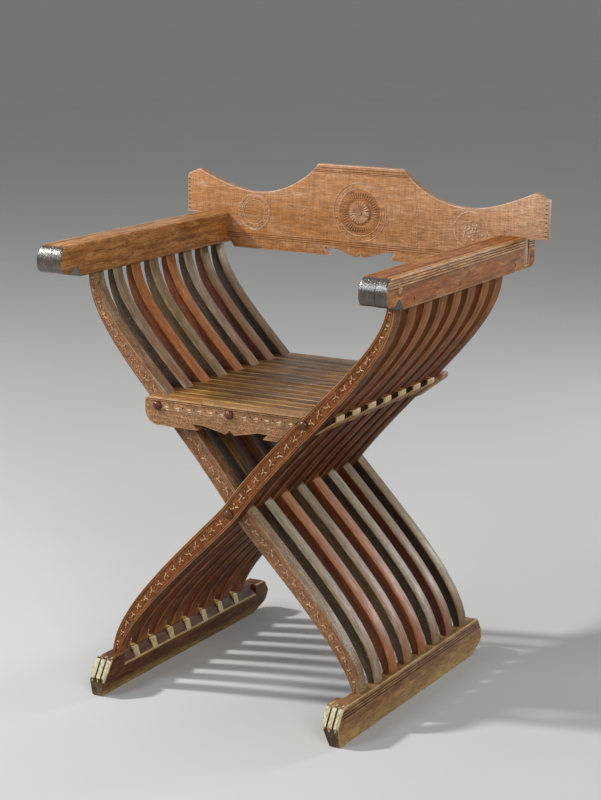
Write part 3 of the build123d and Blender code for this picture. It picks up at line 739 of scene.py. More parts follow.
def stave_materials(tone):
    """The wood, the rubbed edge and the carving's high points of one kind of stave."""
    f = bpy.context.scene.chair_finish
    bright = tint(f.silver, WHITE, 0.2)
    # shadow is the under colour: painted shade with dirt on the staves' downward faces.
    shadow = tint(f.umber, f.red_side, 0.5)
    grey_dark = tint(f.olive, f.umber, 0.45)
    red_dark = tint(f.russet, f.umber, 0.3)
    grey_foot = tint(f.olive, f.brown, 0.5)
    # Faces, dark figure, rubbed patches, sides (dark varnish and painted shade of the gaps between staves),
    # colour at the foot, colour at the seat, wear
    tones = {
        "brown": (tint(f.brown, f.rose, 0.4), f.umber, f.rose, tint(f.brown, f.umber, 0.85),
                  f.brown, f.brown, 0.3),
        "rear": (f.brown, f.umber, f.rose, tint(f.brown, f.umber, 0.7), f.brown, f.brown, 0.3),
        "tan": (f.rose, f.umber, f.rose, tint(f.red_side, f.brown, 0.1), f.brown, f.brown, 0.35),
        "olive": (f.olive, f.umber, f.straw, f.red_side, f.brown, f.brown, 0.35),
        "umber": (tint(f.olive, f.straw, 0.3), f.umber, f.straw, f.slate_side,
                  f.olive, tint(f.brown, f.umber, 0.5), 0.3),
        "silver": (f.silver, grey_dark, bright, f.slate_side, grey_foot, f.brown, 0.5),
        "straw": (f.straw, grey_dark, bright, tint(f.slate_side, f.olive, 0.2),
                  tint(f.olive, f.russet, 0.5), f.olive, 0.45),
        "rose": (f.rose, red_dark, tint(f.rose, f.sprig, 0.6), f.red_side, red_dark, f.russet, 0.3),
        "carved": (f.straw, f.brown, bright, f.carved, grey_foot, f.brown, 0.5),
        "carved_brown": (f.brown, f.umber, f.rose, tint(f.carved, f.umber, 0.2), f.brown, f.brown, 0.4),
    }
    face, dark, pale, sides, foot_tone, seat_tone, wear = tones[tone]
    carved = tone.startswith("carved")
    dull = tone in ("brown", "tan", "rear", "carved_brown")
    shared = {"along": 0, "wear": wear, "on_stave": True, "foot_tone": foot_tone, "seat_tone": seat_tone,
              "under": shadow}
    wood = old_walnut("oiled_walnut_" + tone, face, dark, pale, sides=sides,
                      side_facing="-Y" if carved or tone in ("rear", "umber") else "|Y", stipple=carved,
                      gloss=0.52 if dull else 0.38, shine=0.1 if dull else 0.3, **shared)
    rubbed = tint(f.carved, f.sprig, 0.4) if carved else tint(face, pale, 0.25)
    edge = old_walnut("rubbed_walnut_" + tone, rubbed, f.carved if carved else dark, pale, gloss=0.42,
                      **shared)
    chips = old_walnut("chipped_walnut", f.sprig, tint(f.carved, f.sprig, 0.4), tint(f.sprig, WHITE, 0.3),
                       along=0, wear=0.5, on_stave=True, gloss=0.45)
    return wood, edge, chips


class OBJECT_OT_chair_staves(bpy.types.Operator):
    """Bends sixteen staves out of straight tapered bars, the frontmost of each frame carved"""
    bl_idname = "object.chair_staves"
    bl_label = "Staves"

    def execute(self, context):
        s = context.scene.chair_staves
        plain = bend_stave(s, straight_stave(s, "plain_stave", False))
        carved = bend_stave(s, straight_stave(s, "carved_stave", True))
        for letter, tones in (("a", STAVE_TONES_A), ("b", STAVE_TONES_B)):
            for index, tone in enumerate(tones):
                node = f"stave_{letter}_{index + 1}"
                low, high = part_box(node)
                is_carved = tone.startswith("carved")
                piece = twin(carved if is_carved else plain, f"{node}_wood")
                piece.location.y = (low.y + high.y) / 2
                if letter == "b":
                    piece.scale.x = -1
                settle(piece)
                turn_outwards(piece)
                # Every stave is cut from another part of the tree.
                shift = (index * 2 + (letter == "b")) * 0.37
                for item in piece.data.attributes["grain"].data:
                    item.vector = item.vector + Vector((0, shift, shift))
                for slot, material in enumerate(stave_materials(tone)):
                    piece.data.materials[slot] = material
                smooth(piece, 40)
                seat_on(piece, f"frame_{letter}", "carved_walnut" if is_carved else "stave_walnut", node)
        for master in (plain, carved):
            bpy.data.objects.remove(master)
        return {"FINISHED"}


# --- Seat ----------------------------------------------------------------------------------

SIDE_ROD_X, SIDE_ROD_Z = 132.7 * MM, 492 * MM
BORE_REACH = 9 * MM          # edges this near to a side rod stay sharp,
KNUCKLE_REACH = 30 * MM      # and so do those of the interlocking middle
KNUCKLE_DEPTH = 24 * MM      # down to this far under the top
SLAT_END_X = 168 * MM


class OBJECT_OT_chair_seat(bpy.types.Operator):
    """Rounds the slats and rails of the seat and carves the front rail"""
    bl_idname = "object.chair_seat"
    bl_label = "Seat"

    def execute(self, context):
        s = context.scene.chair_seat
        f = context.scene.chair_finish
        slat_woods = (
            # The slats' faces towards the next slat take the hollow colour: painted shade between the
            # slats.
            old_walnut("oiled_walnut_seat", f.seat, f.seat_dark, f.seat_pale, along=0, wear=0.4,
                       sides=f.hollow, rows=f.seat_dark, gloss=0.4, shine=0.14,
                       fade=("Y", 0.0, -0.2, f.seat_pale, 0.5)),
            old_walnut("rubbed_walnut_seat", tint(f.seat, f.seat_pale, 0.8), f.seat, f.sprig, along=0,
                       wear=0.5, gloss=0.36, fade=("Y", 0.0, -0.2, f.sprig, 0.4)),
            pale_wood("bare_walnut_slat_end", f.chock, f.foot),
        )
        rail_woods = (
            old_walnut("oiled_walnut_rail", tint(f.seat, f.seat_pale, 0.5), f.brown, f.sprig, along=0,
                       wear=0.45, sides=tint(f.carved, f.sprig, 0.18), side_facing="-Y", stipple=True,
                       gloss=0.4),
            old_walnut("rubbed_walnut_rail", tint(f.carved, f.sprig, 0.5), f.carved, f.sprig, along=0,
                       wear=0.5),
            shaded_hollow(),
        )
        for body in ("seat_left", "seat_right"):
            for node in frame["record"]["behaviour"]["bodies"][body]:
                if "rail" in node:
                    self.slat(s, node, body, rail_woods)
                elif "rod" not in node:
                    self.slat(s, node, body, slat_woods)
        self.carve_rail(s, f)
        return {"FINISHED"}

    def slat(self, s, node, body, woods):
        """One slat or rail; the front rail gets two fine grooves under its upper edge."""
        low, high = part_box(node)

        def crisp(middle, _length):
            in_bore = math.hypot(abs(middle.x) - SIDE_ROD_X, middle.z - SIDE_ROD_Z) < BORE_REACH
            in_knuckle = high.z - KNUCKLE_DEPTH < middle.z < high.z - 0.5 * MM
            return in_bore or in_knuckle and abs(middle.x) < KNUCKLE_REACH

        piece = rounded_copy(node, s.rounding, woods, crisp=crisp)
        front_rail = node == "seat_rail_front"
        if front_rail:
            front_grooves(piece, low.y, [high.z - drop * MM for drop in (2.6, 5.6)], 1.1 * MM, 0.9 * MM)
        if "rail" not in node:
            paint(piece, 2, lambda c, n: abs(c.x) > SLAT_END_X and abs(n.x) > 0.5)
        smooth(piece)
        seat_on(piece, body, "carved_walnut" if front_rail else "seat_walnut", node)

    def carve_rail(self, s, f):
        """A row of tapered dashes with a punched eye between them; the eyes are low dark chips, painted
        shade of the punch holes.
        """
        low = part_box("seat_rail_front")[0]
        boss_low, boss_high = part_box("seat_rod_middle_head_front")
        row = (boss_low.z + boss_high.z) / 2 - 1.5 * MM
        dashes, eyes = [], []
        start, end = low.x + 42 * MM, 118 * MM
        for index in range(int((end - start) / s.dash_pitch) + 1):
            x = (start + index * s.dash_pitch) / MM
            if abs(x) < 12:
                continue
            dashes.append(chip("dash", (x, 0, 0.1), (2.9, 8.0, 2.2), math.radians(91), corners=3))
            dashes.append(chip("dash", (x + 1.0, -3.6, 0), (4.2, 0.8, 1.6), math.radians(-6)))
            eyes.append(chip("eye", (x + s.dash_pitch / MM / 2 - 0.6, 1.6, 0), (1.8, 2.1, 0.5), 0))
        chips = old_walnut("chipped_walnut_rail", tint(f.sprig, WHITE, 0.2), tint(f.carved, f.sprig, 0.6),
                           tint(f.sprig, WHITE, 0.4), along=0, wear=0.5, gloss=0.42)
        carving, punches = join(dashes, "rail_carving"), join(eyes, "rail_eyes")
        for part, material in ((carving, chips), (punches, shaded_hollow())):
            finish_carving(hang(part, (0, low.y, row)), material, "seat_left", "carved_walnut")


# --- Feet ----------------------------------------------------------------------------------

POCKET_X = 14 * MM           # pocket's middle from the foot's outer face
PAW_DEPTH = 22 * MM          # length of the paw's front


class OBJECT_OT_chair_feet(bpy.types.Operator):
    """Rounds the feet, cuts their side lines and shapes the lion paws"""
    bl_idname = "object.chair_feet"
    bl_label = "Feet"

    def execute(self, context):
        s = context.scene.chair_feet
        f = context.scene.chair_finish
        woods = {
            1: old_walnut("dry_walnut_foot", f.foot, f.foot_dark, f.foot_pale, along=1, wear=0.4,
                          gloss=0.56, fade=("Z", 0.032, 0.004, f.foot_pale, 0.95)),
            # The left foot's copy is darker: painted shade, as its inner side stands in shade.
            -1: old_walnut("dry_walnut_foot_left", tint(f.brown, f.umber, 0.6), f.hollow, f.foot, along=1,
                           wear=0.3, gloss=0.56, shine=0.14, fade=("Z", 0.02, 0.004, f.foot_pale, 0.6)),
        }
        edge = old_walnut("rubbed_walnut_foot", f.foot_pale, f.foot, f.toe, along=1, wear=0.4, gloss=0.42)
        pocket = old_walnut("dusty_walnut_pocket", f.foot_pale, f.foot_dark, f.toe, along=1, wear=0.2,
                            gloss=0.55)
        grimy = old_walnut("grimy_walnut_paw", tint(f.arm_cap, f.foot, 0.25), f.hollow, f.foot_pale,
                           along=2, wear=0.2)
        horn = pale_wood("rubbed_pale_toes", f.toe, f.toe_dirt)
        wedge = pale_wood("rubbed_pale_wedges", f.chock, f.foot)
        for side, word, body in ((-1, "left", "frame_a"), (1, "right", "frame_b")):
            self.foot(s, side, word, body, (woods[side], edge, pocket, grimy, horn, shaded_hollow()))
            self.paw(s, word, body, horn)
            node = "foot_chocks_" + word
            seat_on(rounded_copy(node, 0.7 * MM, (wedge,), segments=1), body, "foot_walnut", node)
        return {"FINISHED"}

    def foot(self, s, side, word, body, materials):
        """One foot with three lines along its outer side; side is -1 on the left and 1 on the right."""
        node = "foot_" + word
        low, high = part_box(node)
        outer = max(abs(low.x), abs(high.x))

        def crisp(middle, _length):
            at_pockets = middle.z > high.z - 10 * MM and abs(middle.y) < 240 * MM
            at_toes = middle.y < low.y + 24 * MM and abs(middle.x) > outer - 26 * MM
            return abs(middle.x) < outer - 6 * MM and (at_pockets or at_toes)

        def on_outside(face):
            return face.normal.x * side > FACING and abs(face.calc_center_median().x) > outer - 2 * MM

        piece = rounded_copy(node, s.rounding, materials, crisp=crisp)
        groove = 0.9 * MM
        for drop in (6.5, 11.5, 16.0):
            top = high.z - drop * MM
            cut_line(piece, (0, 0, 1), top - s.line_width, top, on_outside, (-side * groove, 0, 0))
        middle_x, pocket_x = (low.x + high.x) / 2, side * (outer - POCKET_X)
        paw_end = low.y + PAW_DEPTH
        # Grimy front and sides of the paw, horn on its slope, soot and painted shade in the lines, dust in
        # the pockets
        paint(piece, 3, lambda c, n: c.y < paw_end and (
            n.y < -0.6 and c.z < low.z + 31 * MM or abs(n.x) > 0.7 and abs(c.x - middle_x) < 8 * MM))
        paint(piece, 4, lambda c, n: c.y < paw_end and n.y < -0.6 and n.z > 0.3)
        paint(piece, 5, lambda c, n: abs(abs(c.x) - outer + groove) < 0.2 * MM and abs(n.x) > FACING
              and c.z > high.z - 21 * MM)
        paint(piece, 2, lambda c, n: abs(c.x - pocket_x) < 6.7 * MM and abs(c.y) < 235 * MM
              and high.z - 8.5 * MM < c.z < high.z - 0.8 * MM)
        smooth(piece)
        seat_on(piece, body, "foot_walnut", node)

    def paw(self, s, word, body, horn):
        """Three toes down the sloping front of the foot, each with a knuckle behind it."""
        low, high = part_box("foot_" + word)
        outer = max(abs(low.x), abs(high.x))
        bend, slope = 31 * MM, 20 / 31      # the front is upright up to the bend, then leans back
        route = ((27.5, 0.45), (32.0, 0.9), (42.0, 1.0), (52.0, 1.0), (60.0, 0.75))    # height, swell
        parts = []
        for toe in range(3):
            x = math.copysign(outer - 32 * MM * (2 * toe + 1) / 6, low.x)
            bpy.ops.curve.primitive_nurbs_path_add(location=(0, 0, 0))
            line = bpy.context.active_object
            for point, (z, swell) in zip(line.data.splines[0].points, route):
                back = max(0.0, z * MM - bend) * slope
                point.co = (x, low.y + back + 1.3 * MM, z * MM - 0.8 * MM, 1)
                point.radius = swell
            line.data.bevel_depth = s.toe_radius
            line.data.bevel_resolution = 3
            line.data.resolution_u = 6
            line.data.use_fill_caps = True
            line.data.dimensions = "3D"
            focus(line)
            bpy.ops.object.convert(target="MESH")
            parts.append(made("toe"))
            bpy.ops.mesh.primitive_uv_sphere_add(segments=12, ring_count=8, radius=1,
                                                 location=(x, low.y + 26 * MM, high.z - 0.3 * MM),
                                                 scale=(2.3 * MM, 3.0 * MM, 2.0 * MM))
            parts.append(made("knuckle"))
        paw = join(parts, "paw_" + word)
        start_edit(paw, whole=True)
        bpy.ops.mesh.remove_doubles(threshold=0.01 * MM)
        end_edit()
        finish_carving(paw, horn, body, "foot_walnut", 60)


# --- Arms ----------------------------------------------------------------------------------

REED_DEPTH, TOP_LINE_DEPTH = 1.0 * MM, 0.8 * MM


class OBJECT_OT_chair_arms(bpy.types.Operator):
    """Rounds the arms and cuts the reeding along their tops and outer sides"""
    bl_idname = "object.chair_arms"
    bl_label = "Arms"

    def execute(self, context):
        s = context.scene.chair_arms
        f = context.scene.chair_finish
        # The under colour darkens the arms' downward faces: painted shade with dirt.
        handled = {"along": 1, "cap": f.arm_cap, "under": f.umber}
        woods = {
            1: old_walnut("handled_walnut_arm", tint(f.arm, f.arm_dark, 0.2), f.arm_dark, f.arm_pale,
                          wear=0.35, gloss=0.4, **handled),
            # The left arm's copy is paler: painted light on its inner side.
            -1: old_walnut("handled_walnut_arm_left", tint(f.arm, f.arm_pale, 0.4),
                           tint(f.arm_dark, f.umber, 0.3), f.arm_pale, wear=0.45, gloss=0.4, **handled),
        }
        # Rubbed edges and reeds: partly worn pale, partly a painted golden highlight on the outer rounding.
        edge = old_walnut("rubbed_walnut_arm", tint(f.arm, f.arm_pale, 0.75), f.arm,
                          tint(f.arm_pale, WHITE, 0.2), wear=0.5, gloss=0.42, **handled)
        hollow = old_walnut("varnished_groove_walnut", f.red_side, f.hollow, f.arm, along=1, wear=0.15,
                            gloss=0.45)
        chips = old_walnut("chipped_walnut_arm", tint(f.arm_pale, WHITE, 0.3), f.arm, f.sprig, along=1,
                           wear=0.5)
        for side, word, body in ((-1, "left", "frame_b"), (1, "right", "frame_a")):
            self.arm(s, side, word, body, (woods[side], edge, hollow))
            self.nose_flower(side, word, body, chips)
        return {"FINISHED"}

    def arm(self, s, side, word, body, materials):
        """One arm; side is -1 on the left and 1 on the right."""
        node = "arm_" + word
        low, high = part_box(node)
        outer, inner = max(abs(low.x), abs(high.x)), min(abs(low.x), abs(high.x))
        nose_end = low.y + 8 * MM

        def crisp(middle, reach):
            at_mortises = middle.z < low.z + 1 * MM and inner + 4 * MM < abs(middle.x) < outer - 4 * MM
            at_pegs = reach < 3 * MM and low.z + 8 * MM < middle.z < high.z - 8 * MM
            return at_mortises or at_pegs

        def on_outside(face):
            c = face.calc_center_median()
            return face.normal.x * side > FACING and abs(c.x) > outer - 1 * MM and c.y > nose_end

        def on_top(face):
            c = face.calc_center_median()
            return face.normal.z > FACING and c.z > high.z - 1 * MM and c.y > nose_end

        def on_inside(face):
            return face.normal.x * side < -FACING and abs(face.calc_center_median().x) < inner + 1 * MM

        def on_reeds(c, n):
            on_side = abs(c.x) > outer - 0.2 * MM and c.z > high.z - 22 * MM
            on_edge = n.z > FACING and abs(c.x) > outer - 6 * MM
            return (on_side or on_edge) and c.y > nose_end

        def in_groove(c, n):
            in_side = (abs(abs(c.x) - outer + REED_DEPTH) < 0.15 * MM and abs(n.x) > FACING
                       and high.z - 22 * MM < c.z < high.z - 4 * MM)
            in_top = n.z > FACING and abs(c.z - high.z + TOP_LINE_DEPTH) < 0.1 * MM and c.y > nose_end
            return in_side or in_top

        piece = rounded_copy(node, s.rounding, materials, segments=3, crisp=crisp)
        self.round_nose(s, piece, low, high)
        for number in range(4):
            top = high.z - 5 * MM - number * s.line_pitch
            cut_line(piece, (0, 0, 1), top - s.line_width, top, on_outside, (-side * REED_DEPTH, 0, 0))
        cut_line(piece, (0, 0, 1), low.z + 4.2 * MM, low.z + 5.4 * MM, on_inside, (side * 0.8 * MM, 0, 0))
        for inset in (6, 11, 36):
            far = outer - inset * MM
            cut_line(piece, (side, 0, 0), far - s.line_width, far, on_top, (0, 0, -TOP_LINE_DEPTH))
        # The reed band takes the rubbed edge material: wear and a painted highlight.
        paint(piece, 1, on_reeds)
        paint(piece, 2, in_groove)
        smooth(piece)
        seat_on(piece, body, "arm_walnut", node)

    def round_nose(self, s, piece, low, high):
        """Turns the nose's square end into a rounded one: its front section is squeezed towards
        the middle of its height, more and more towards the tip. A drying crack runs up it."""
        start_edit(piece)
        cuts = 8
        for step in range(1, cuts + 1):
            place = low.y + s.nose_radius * (1 - math.cos(math.pi / 2 * step / cuts))
            bpy.ops.mesh.select_all(action="SELECT")
            bpy.ops.mesh.bisect(plane_co=(0, place, 0), plane_no=(0, 1, 0))
        end_edit()
        middle = (low.z + high.z) / 2
        for vertex in piece.data.vertices:
            depth = (vertex.co.y - low.y) / s.nose_radius
            if depth < 1:
                shrink = s.nose_radius * (1 - math.sqrt(max(0.0, 1 - (1 - depth) ** 2)))
                vertex.co.z -= shrink * (vertex.co.z - middle) / (high.z - middle) * 0.85
        crack, width = (low.x + high.x) / 2 + 3 * MM, 0.9 * MM
        cut_line(piece, (1, 0, 0), crack, crack + width, lambda face: face.normal.y < -0.25
                 and face.calc_center_median().y < low.y + 0.7 * s.nose_radius, (0, width, 0))

    def nose_flower(self, side, word, body, material):
        """A small flower of eight petals and a row of chips on the outer side of the nose."""
        low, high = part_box("arm_" + word)
        outer = max(abs(low.x), abs(high.x))
        parts = chip_circle("petal", 8, 4.4, (4.3, 1.6, 2.6))
        parts.append(chip("petal", (0, 0, 0.2), (1.9, 1.9, 3.0), 0))
        for mark in range(-3, 4):
            parts.append(chip("mark", (mark * 3.6, -13.5 + 0.35 * mark ** 2, 0), (1.9, 1.0, 1.8),
                              math.radians(12 * mark)))
        flower = join(parts, "nose_flower_" + word)
        face_outwards = Matrix(((0, 0, side, 0), (side, 0, 0, 0), (0, 1, 0, 0), (0, 0, 0, 1)))
        place = (side * outer, low.y + 44 * MM, low.z + 33 * MM)
        flower.matrix_world = Matrix.Translation(place) @ face_outwards
        finish_carving(settle(flower), material, body, "arm_walnut")


# --- Back board ----------------------------------------------------------------------------

def ring(place, radius, thickness):
    """A raised compass line around a place: a ring, half sunk in the board, in millimetres."""
    bpy.ops.mesh.primitive_torus_add(
        location=place, rotation=(math.radians(90), 0, 0), major_radius=radius * MM,
        minor_radius=thickness * MM, major_segments=56, minor_segments=6)
    return made("line")


def start_disc(name, sides, radius, floor, rise):
    """A flat disc that rises from a floor, left in edit mode with its top selected."""
    bpy.ops.mesh.primitive_circle_add(vertices=sides, radius=radius, fill_type="NGON",
                                      location=(0, 0, floor))
    disc = made(name)
    start_edit(disc, whole=True)
    bpy.ops.mesh.extrude_region_move(TRANSFORM_OT_translate={"value": (0, 0, rise)})
    return disc


def fluted_dome(name, radius, rise, flutes):
    """A flat dome with a scalloped rim and flutes that run to a small hub."""
    foot = 1.2 * MM      # how far the dome is sunk in
    dome = start_disc(name, 2 * flutes, radius, -foot, foot + rise * 0.45)
    for share, lift in ((0.10, 0.35), (0.25, 0.14), (0.25, -0.10), (0.18, -0.22)):
        bpy.ops.mesh.inset(thickness=radius * share, depth=rise * lift)
    bpy.ops.mesh.extrude_region_move(TRANSFORM_OT_translate={"value": (0, 0, rise * 0.35)})
    end_edit()
    for vertex in dome.data.vertices:
        reach = math.hypot(vertex.co.x, vertex.co.y)
        number = round(math.atan2(vertex.co.y, vertex.co.x) / (math.pi / flutes))
        if reach >= radius * 0.28 and number % 2:
            vertex.co.z -= min(0.9 * MM, max(0.0, vertex.co.z))
            if reach > radius * 0.95:
                vertex.co.x *= 0.955
                vertex.co.y *= 0.955
    return dome


class OBJECT_OT_chair_back_board(bpy.types.Operator):
    """Rounds the back board, cuts its lines, sets dark chips as painted shade of the end notches and carves
    the rosette and roundels
    """
    bl_idname = "object.chair_back_board"
    bl_label = "Back board"

    def execute(self, context):
        s = context.scene.chair_board
        f = context.scene.chair_finish
        low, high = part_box("back_board")
        wood = old_walnut("oiled_walnut_board", f.board, f.board_dark, f.board_pale, along=0, wear=0.35,
                          gloss=0.4, tool_marks=True, fade=("X", 0.02, 0.33, f.board_pale, 0.9))
        edge = old_walnut("rubbed_walnut_board", tint(f.board_pale, WHITE, 0.15), f.board, f.board_pale,
                          along=0, wear=0.4)
        hollow = old_walnut("shadowed_walnut_board", tint(f.board_dark, f.umber, 0.5), f.umber,
                            f.board_dark, along=0, wear=0.1)
        ground = old_walnut("recessed_walnut_board", tint(f.board, f.board_dark, 0.5), f.board_dark,
                            f.board, along=0, wear=0.3)
        raised = old_walnut("carved_walnut_board", tint(f.board, f.board_pale, 0.55), f.board_dark,
                            f.board_pale, along=0, wear=0.5)
        pale = old_walnut("chipped_walnut_board", tint(f.board_pale, WHITE, 0.4), f.board, f.board_pale,
                          along=0, wear=0.4)
        piece = rounded_copy("back_board", s.rounding, (wood, edge, hollow))
        tops = [height * MM + s.line_width for height in (702.0, 705.6, 709.2)]
        tops += [high.z - drop * MM for drop in (5.5, 10.0, 12.8)]
        front_grooves(piece, low.y, tops, s.line_width, 0.8 * MM)
        smooth(piece)
        seat_on(piece, "back_rest", "board_walnut", "back_board")
        self.rosette(s, low.y, ground, raised, edge)
        self.roundels(s, low.y, edge, pale)
        self.dashes(low.y, high, edge, hollow)
        return {"FINISHED"}

    def rosette(self, s, front, shade, raised, edge):
        """A fluted dome and a ring of rays on a round ground, in a wreath between two lines."""
        place = (0, front, s.rosette_height)
        dome = fluted_dome("rosette_dome", s.rosette_radius, 4.2 * MM, 22)
        ground = start_disc("rosette_ground", 56, s.rosette_radius + 18.5 * MM, -0.4 * MM, 0.6 * MM)
        bpy.ops.mesh.inset(thickness=0.9 * MM, depth=0.25 * MM)
        end_edit()
        inner, outer, count = s.rosette_radius / MM + 1.0, s.rosette_radius / MM + 17.5, 44
        middle = (inner + outer) / 2
        size = ((outer - inner) / 2, math.pi * middle / count * 0.66, 2.2)
        rays = join(chip_circle("ray", count, middle, size, rise=0.55), "rosette_rays")
        leaves = chip_circle("leaf", 26, 46.2, (3.3, 0.9, 1.5), slant=math.radians(55))
        rings = join([ring(place, radius, 0.75) for radius in (40.5, 50.5)]
                     + [hang(leaf, place) for leaf in leaves], "rosette_rings")
        for piece, material in ((dome, raised), (ground, shade), (rays, raised)):
            finish_carving(hang(piece, place), material, "back_rest", "board_walnut")
        finish_carving(rings, edge, "back_rest", "board_walnut", 50)

    def curls(self):
        """Loose strokes that spiral out from the middle."""
        strokes = []
        for number in range(30):
            turn, reach = number * 2.4, 3.0 + 0.78 * number
            place = (reach * math.cos(turn), 0.8 * reach * math.sin(turn), 0)
            size = (3.6 + 1.4 * math.sin(number * 1.7), 1.4, 2.2)
            strokes.append(chip("stroke", place, size,
                                turn + math.radians(70 + 25 * math.sin(number * 2.1))))
        return strokes

    def roundels(self, s, front, edge, pale):
        """Compass rings: on the left with short rays between them, on the right with curls."""
        rays = chip_circle("stroke", 20, 25.4, (2.3, 1.4, 2.2))
        for side, word, radii, strokes, material in (
                (-1, "left", (31.5, 29.4, 21.5), rays, edge), (1, "right", (30.5,), self.curls(), pale)):
            place = (side * s.roundel_x, front, s.roundel_height)
            parts = [ring(place, radius, 0.8) for radius in radii]
            parts += [hang(stroke, place) for stroke in strokes]
            finish_carving(join(parts, "roundel_" + word), material, "back_rest", "board_walnut", 50)

    def dashes(self, front, high, edge, hollow):
        """Upright rows of chips beside the rosette, and down both ends of the board dark chips that stand
        for nicks: painted shade.
        """
        end = high.x / MM - 3.2
        # Row, count, place across, lowest height, spacing, size and material
        for name, count, x, start, pitch, size, material in (
                ("board_dashes", 9, 110, 716, 7.2, (1.5, 2.6, 2.2), edge),
                ("board_nicks", 8, end, 748, 7.4, (2.7, 1.5, 0.9), hollow)):
            row = join([chip("dash", (side * x, start + pitch * number, 0), size, 0)
                        for side in (-1, 1) for number in range(count)], name)
            finish_carving(hang(row, (0, front, 0)), material, "back_rest", "board_walnut")


# --- Rods and heads ------------------------------------------------------------------------

class OBJECT_OT_chair_rods(bpy.types.Operator):
    """Gives the rods and their turned heads a dark polished finish, and the arm pegs the arm's wood"""
    bl_idname = "object.chair_rods"
    bl_label = "Rods and heads"

    def execute(self, context):
        f = context.scene.chair_finish
        dark = old_walnut("polished_dark_walnut", f.head, f.hollow, f.brown, along=1, wear=0.3, gloss=0.22)
        for name, node in frame["nodes"].items():
            if "rod" in name:
                dress(node, dark)
            elif "peg" in name:
                dress(node, bpy.data.materials["handled_walnut_arm"])
        return {"FINISHED"}


# --- Stage ---------------------------------------------------------------------------------

CAMERA_PLACE = (1.6129, -2.9237, 1.2231)
SENSOR_MM, IMAGE_PX = 36, 800
LAMP_TARGET = Vector((0, 0, 0.42))
# Name, place, size of the disc in metres, power in watts and colour
LAMPS = (
    ("key", (-3.1, -1.7, 3.1), 0.4, 190, (1.0, 0.96, 0.9)),
    ("fill", (2.9, -2.9, 2.2), 1.8, 68, (1.0, 0.94, 0.86)),
    ("nose_light", (-1.0, -2.4, 2.2), 0.9, 26, (0.9, 0.96, 1.0)),
    ("sheen", (1.5, 3.1, 1.15), 0.9, 40, (1.0, 1.0, 1.0)),
)
AMBIENT, AMBIENT_STRENGTH = (1.0, 0.96, 0.9, 1), 0.25
BACKDROP = (0.60, 0.62, 0.64, 1)


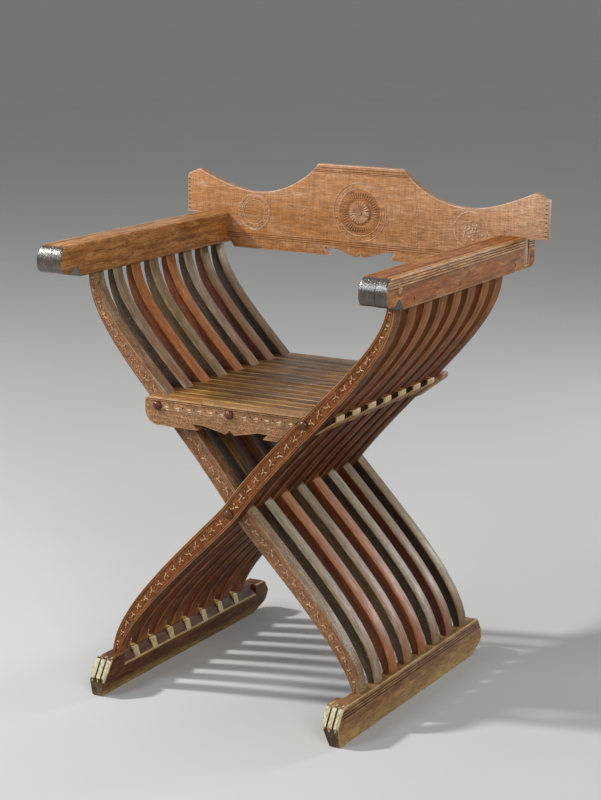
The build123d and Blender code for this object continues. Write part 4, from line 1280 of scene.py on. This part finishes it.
class OBJECT_OT_chair_stage(bpy.types.Operator):
    """Sets up the camera, a plain pale floor and soft studio lamps"""
    bl_idname = "object.chair_stage"
    bl_label = "Stage"

    def execute(self, context):
        s = context.scene.chair_stage
        self.camera(context, s)
        self.floor(s)
        self.world(context)
        self.lamps()
        context.scene.view_settings.view_transform = "Standard"
        return {"FINISHED"}

    def camera(self, context, s):
        azimuth, elevation, roll = (math.radians(v) for v in (s.azimuth, s.elevation, s.roll))
        ahead = Vector((-math.sin(azimuth) * math.cos(elevation), math.cos(azimuth) * math.cos(elevation),
                        -math.sin(elevation)))
        right = Vector((math.cos(azimuth), math.sin(azimuth), 0))
        up = right.cross(ahead)
        tilted_right = right * math.cos(roll) + up * math.sin(roll)
        tilted_up = up * math.cos(roll) - right * math.sin(roll)
        turn = Matrix((tilted_right, tilted_up, -ahead)).transposed()
        bpy.ops.object.camera_add()
        camera = bpy.context.active_object
        camera.name = "camera"
        camera.data.sensor_width = SENSOR_MM
        camera.data.lens = s.focal_px * SENSOR_MM / IMAGE_PX
        camera.data.clip_start, camera.data.clip_end = 0.05, 60
        camera.matrix_world = Matrix.Translation(CAMERA_PLACE) @ turn.to_4x4()
        context.scene.camera = camera

    def floor(self, s):
        bpy.ops.mesh.primitive_plane_add(size=120, location=(0, 0, 0))
        floor = bpy.context.active_object
        floor.name = "floor"
        dress(floor, matt_paper("matt_paper", s.floor))

    def world(self, context):
        """Soft light all round; the camera, reflections and glass see an even backdrop."""
        world = bpy.data.worlds.new("studio")
        context.scene.world = world
        world.use_nodes = True
        tree = world.node_tree
        tree.nodes.clear()
        rays = add(tree, "ShaderNodeLightPath").outputs
        soft = add(tree, "ShaderNodeBackground", {"Color": AMBIENT, "Strength": AMBIENT_STRENGTH})
        backdrop = add(tree, "ShaderNodeBackground", {"Color": BACKDROP, "Strength": 1.0})
        seen = rays["Is Camera Ray"]
        for kind in ("Is Glossy Ray", "Is Transmission Ray"):
            seen = add(tree, "ShaderNodeMath", {"operation": "MAXIMUM"}, i0=seen, i1=rays[kind]).outputs[0]
        mix = add(tree, "ShaderNodeMixShader", {}, i0=seen, i1=soft.outputs[0], i2=backdrop.outputs[0])
        add(tree, "ShaderNodeOutputWorld", {}, Surface=mix.outputs[0])

    def lamps(self):
        for name, place, size, power, tone in LAMPS:
            bpy.ops.object.light_add(type="AREA", location=place)
            lamp = bpy.context.active_object
            lamp.name = name
            lamp.data.shape = "DISK"
            lamp.data.size = size
            lamp.data.energy = power
            lamp.data.color = tone
            lamp.rotation_euler = (LAMP_TARGET - Vector(place)).to_track_quat("-Z", "Y").to_euler()


# --- Panel and run -------------------------------------------------------------------------

class VIEW3D_PT_chair(bpy.types.Panel):
    bl_label = "Folding armchair"
    bl_idname = "VIEW3D_PT_chair"
    bl_space_type = "VIEW_3D"
    bl_region_type = "UI"
    bl_category = "Chair"

    def draw(self, context):
        for operator in OPERATORS:
            self.layout.operator(operator.bl_idname)


SETTINGS = {
    "chair_finish": ChairFinishSettings,
    "chair_staves": ChairStaveSettings,
    "chair_seat": ChairSeatSettings,
    "chair_feet": ChairFootSettings,
    "chair_arms": ChairArmSettings,
    "chair_board": ChairBoardSettings,
    "chair_stage": ChairStageSettings,
}
OPERATORS = (
    OBJECT_OT_chair_stage,
    OBJECT_OT_chair_staves,
    OBJECT_OT_chair_seat,
    OBJECT_OT_chair_feet,
    OBJECT_OT_chair_arms,
    OBJECT_OT_chair_back_board,
    OBJECT_OT_chair_rods,
)


def register():
    for group in (*SETTINGS.values(), *OPERATORS, VIEW3D_PT_chair):
        bpy.utils.register_class(group)
    for name, group in SETTINGS.items():
        setattr(bpy.types.Scene, name, PointerProperty(type=group))


def unregister():
    for name in SETTINGS:
        delattr(bpy.types.Scene, name)
    for group in reversed((*SETTINGS.values(), *OPERATORS, VIEW3D_PT_chair)):
        bpy.utils.unregister_class(group)


def main():
    register()
    bpy.ops.object.chair_stage()
    bpy.ops.object.chair_staves()
    bpy.ops.object.chair_seat()
    bpy.ops.object.chair_feet()
    bpy.ops.object.chair_arms()
    bpy.ops.object.chair_back_board()
    bpy.ops.object.chair_rods()


if __name__ == "__main__":
    main()
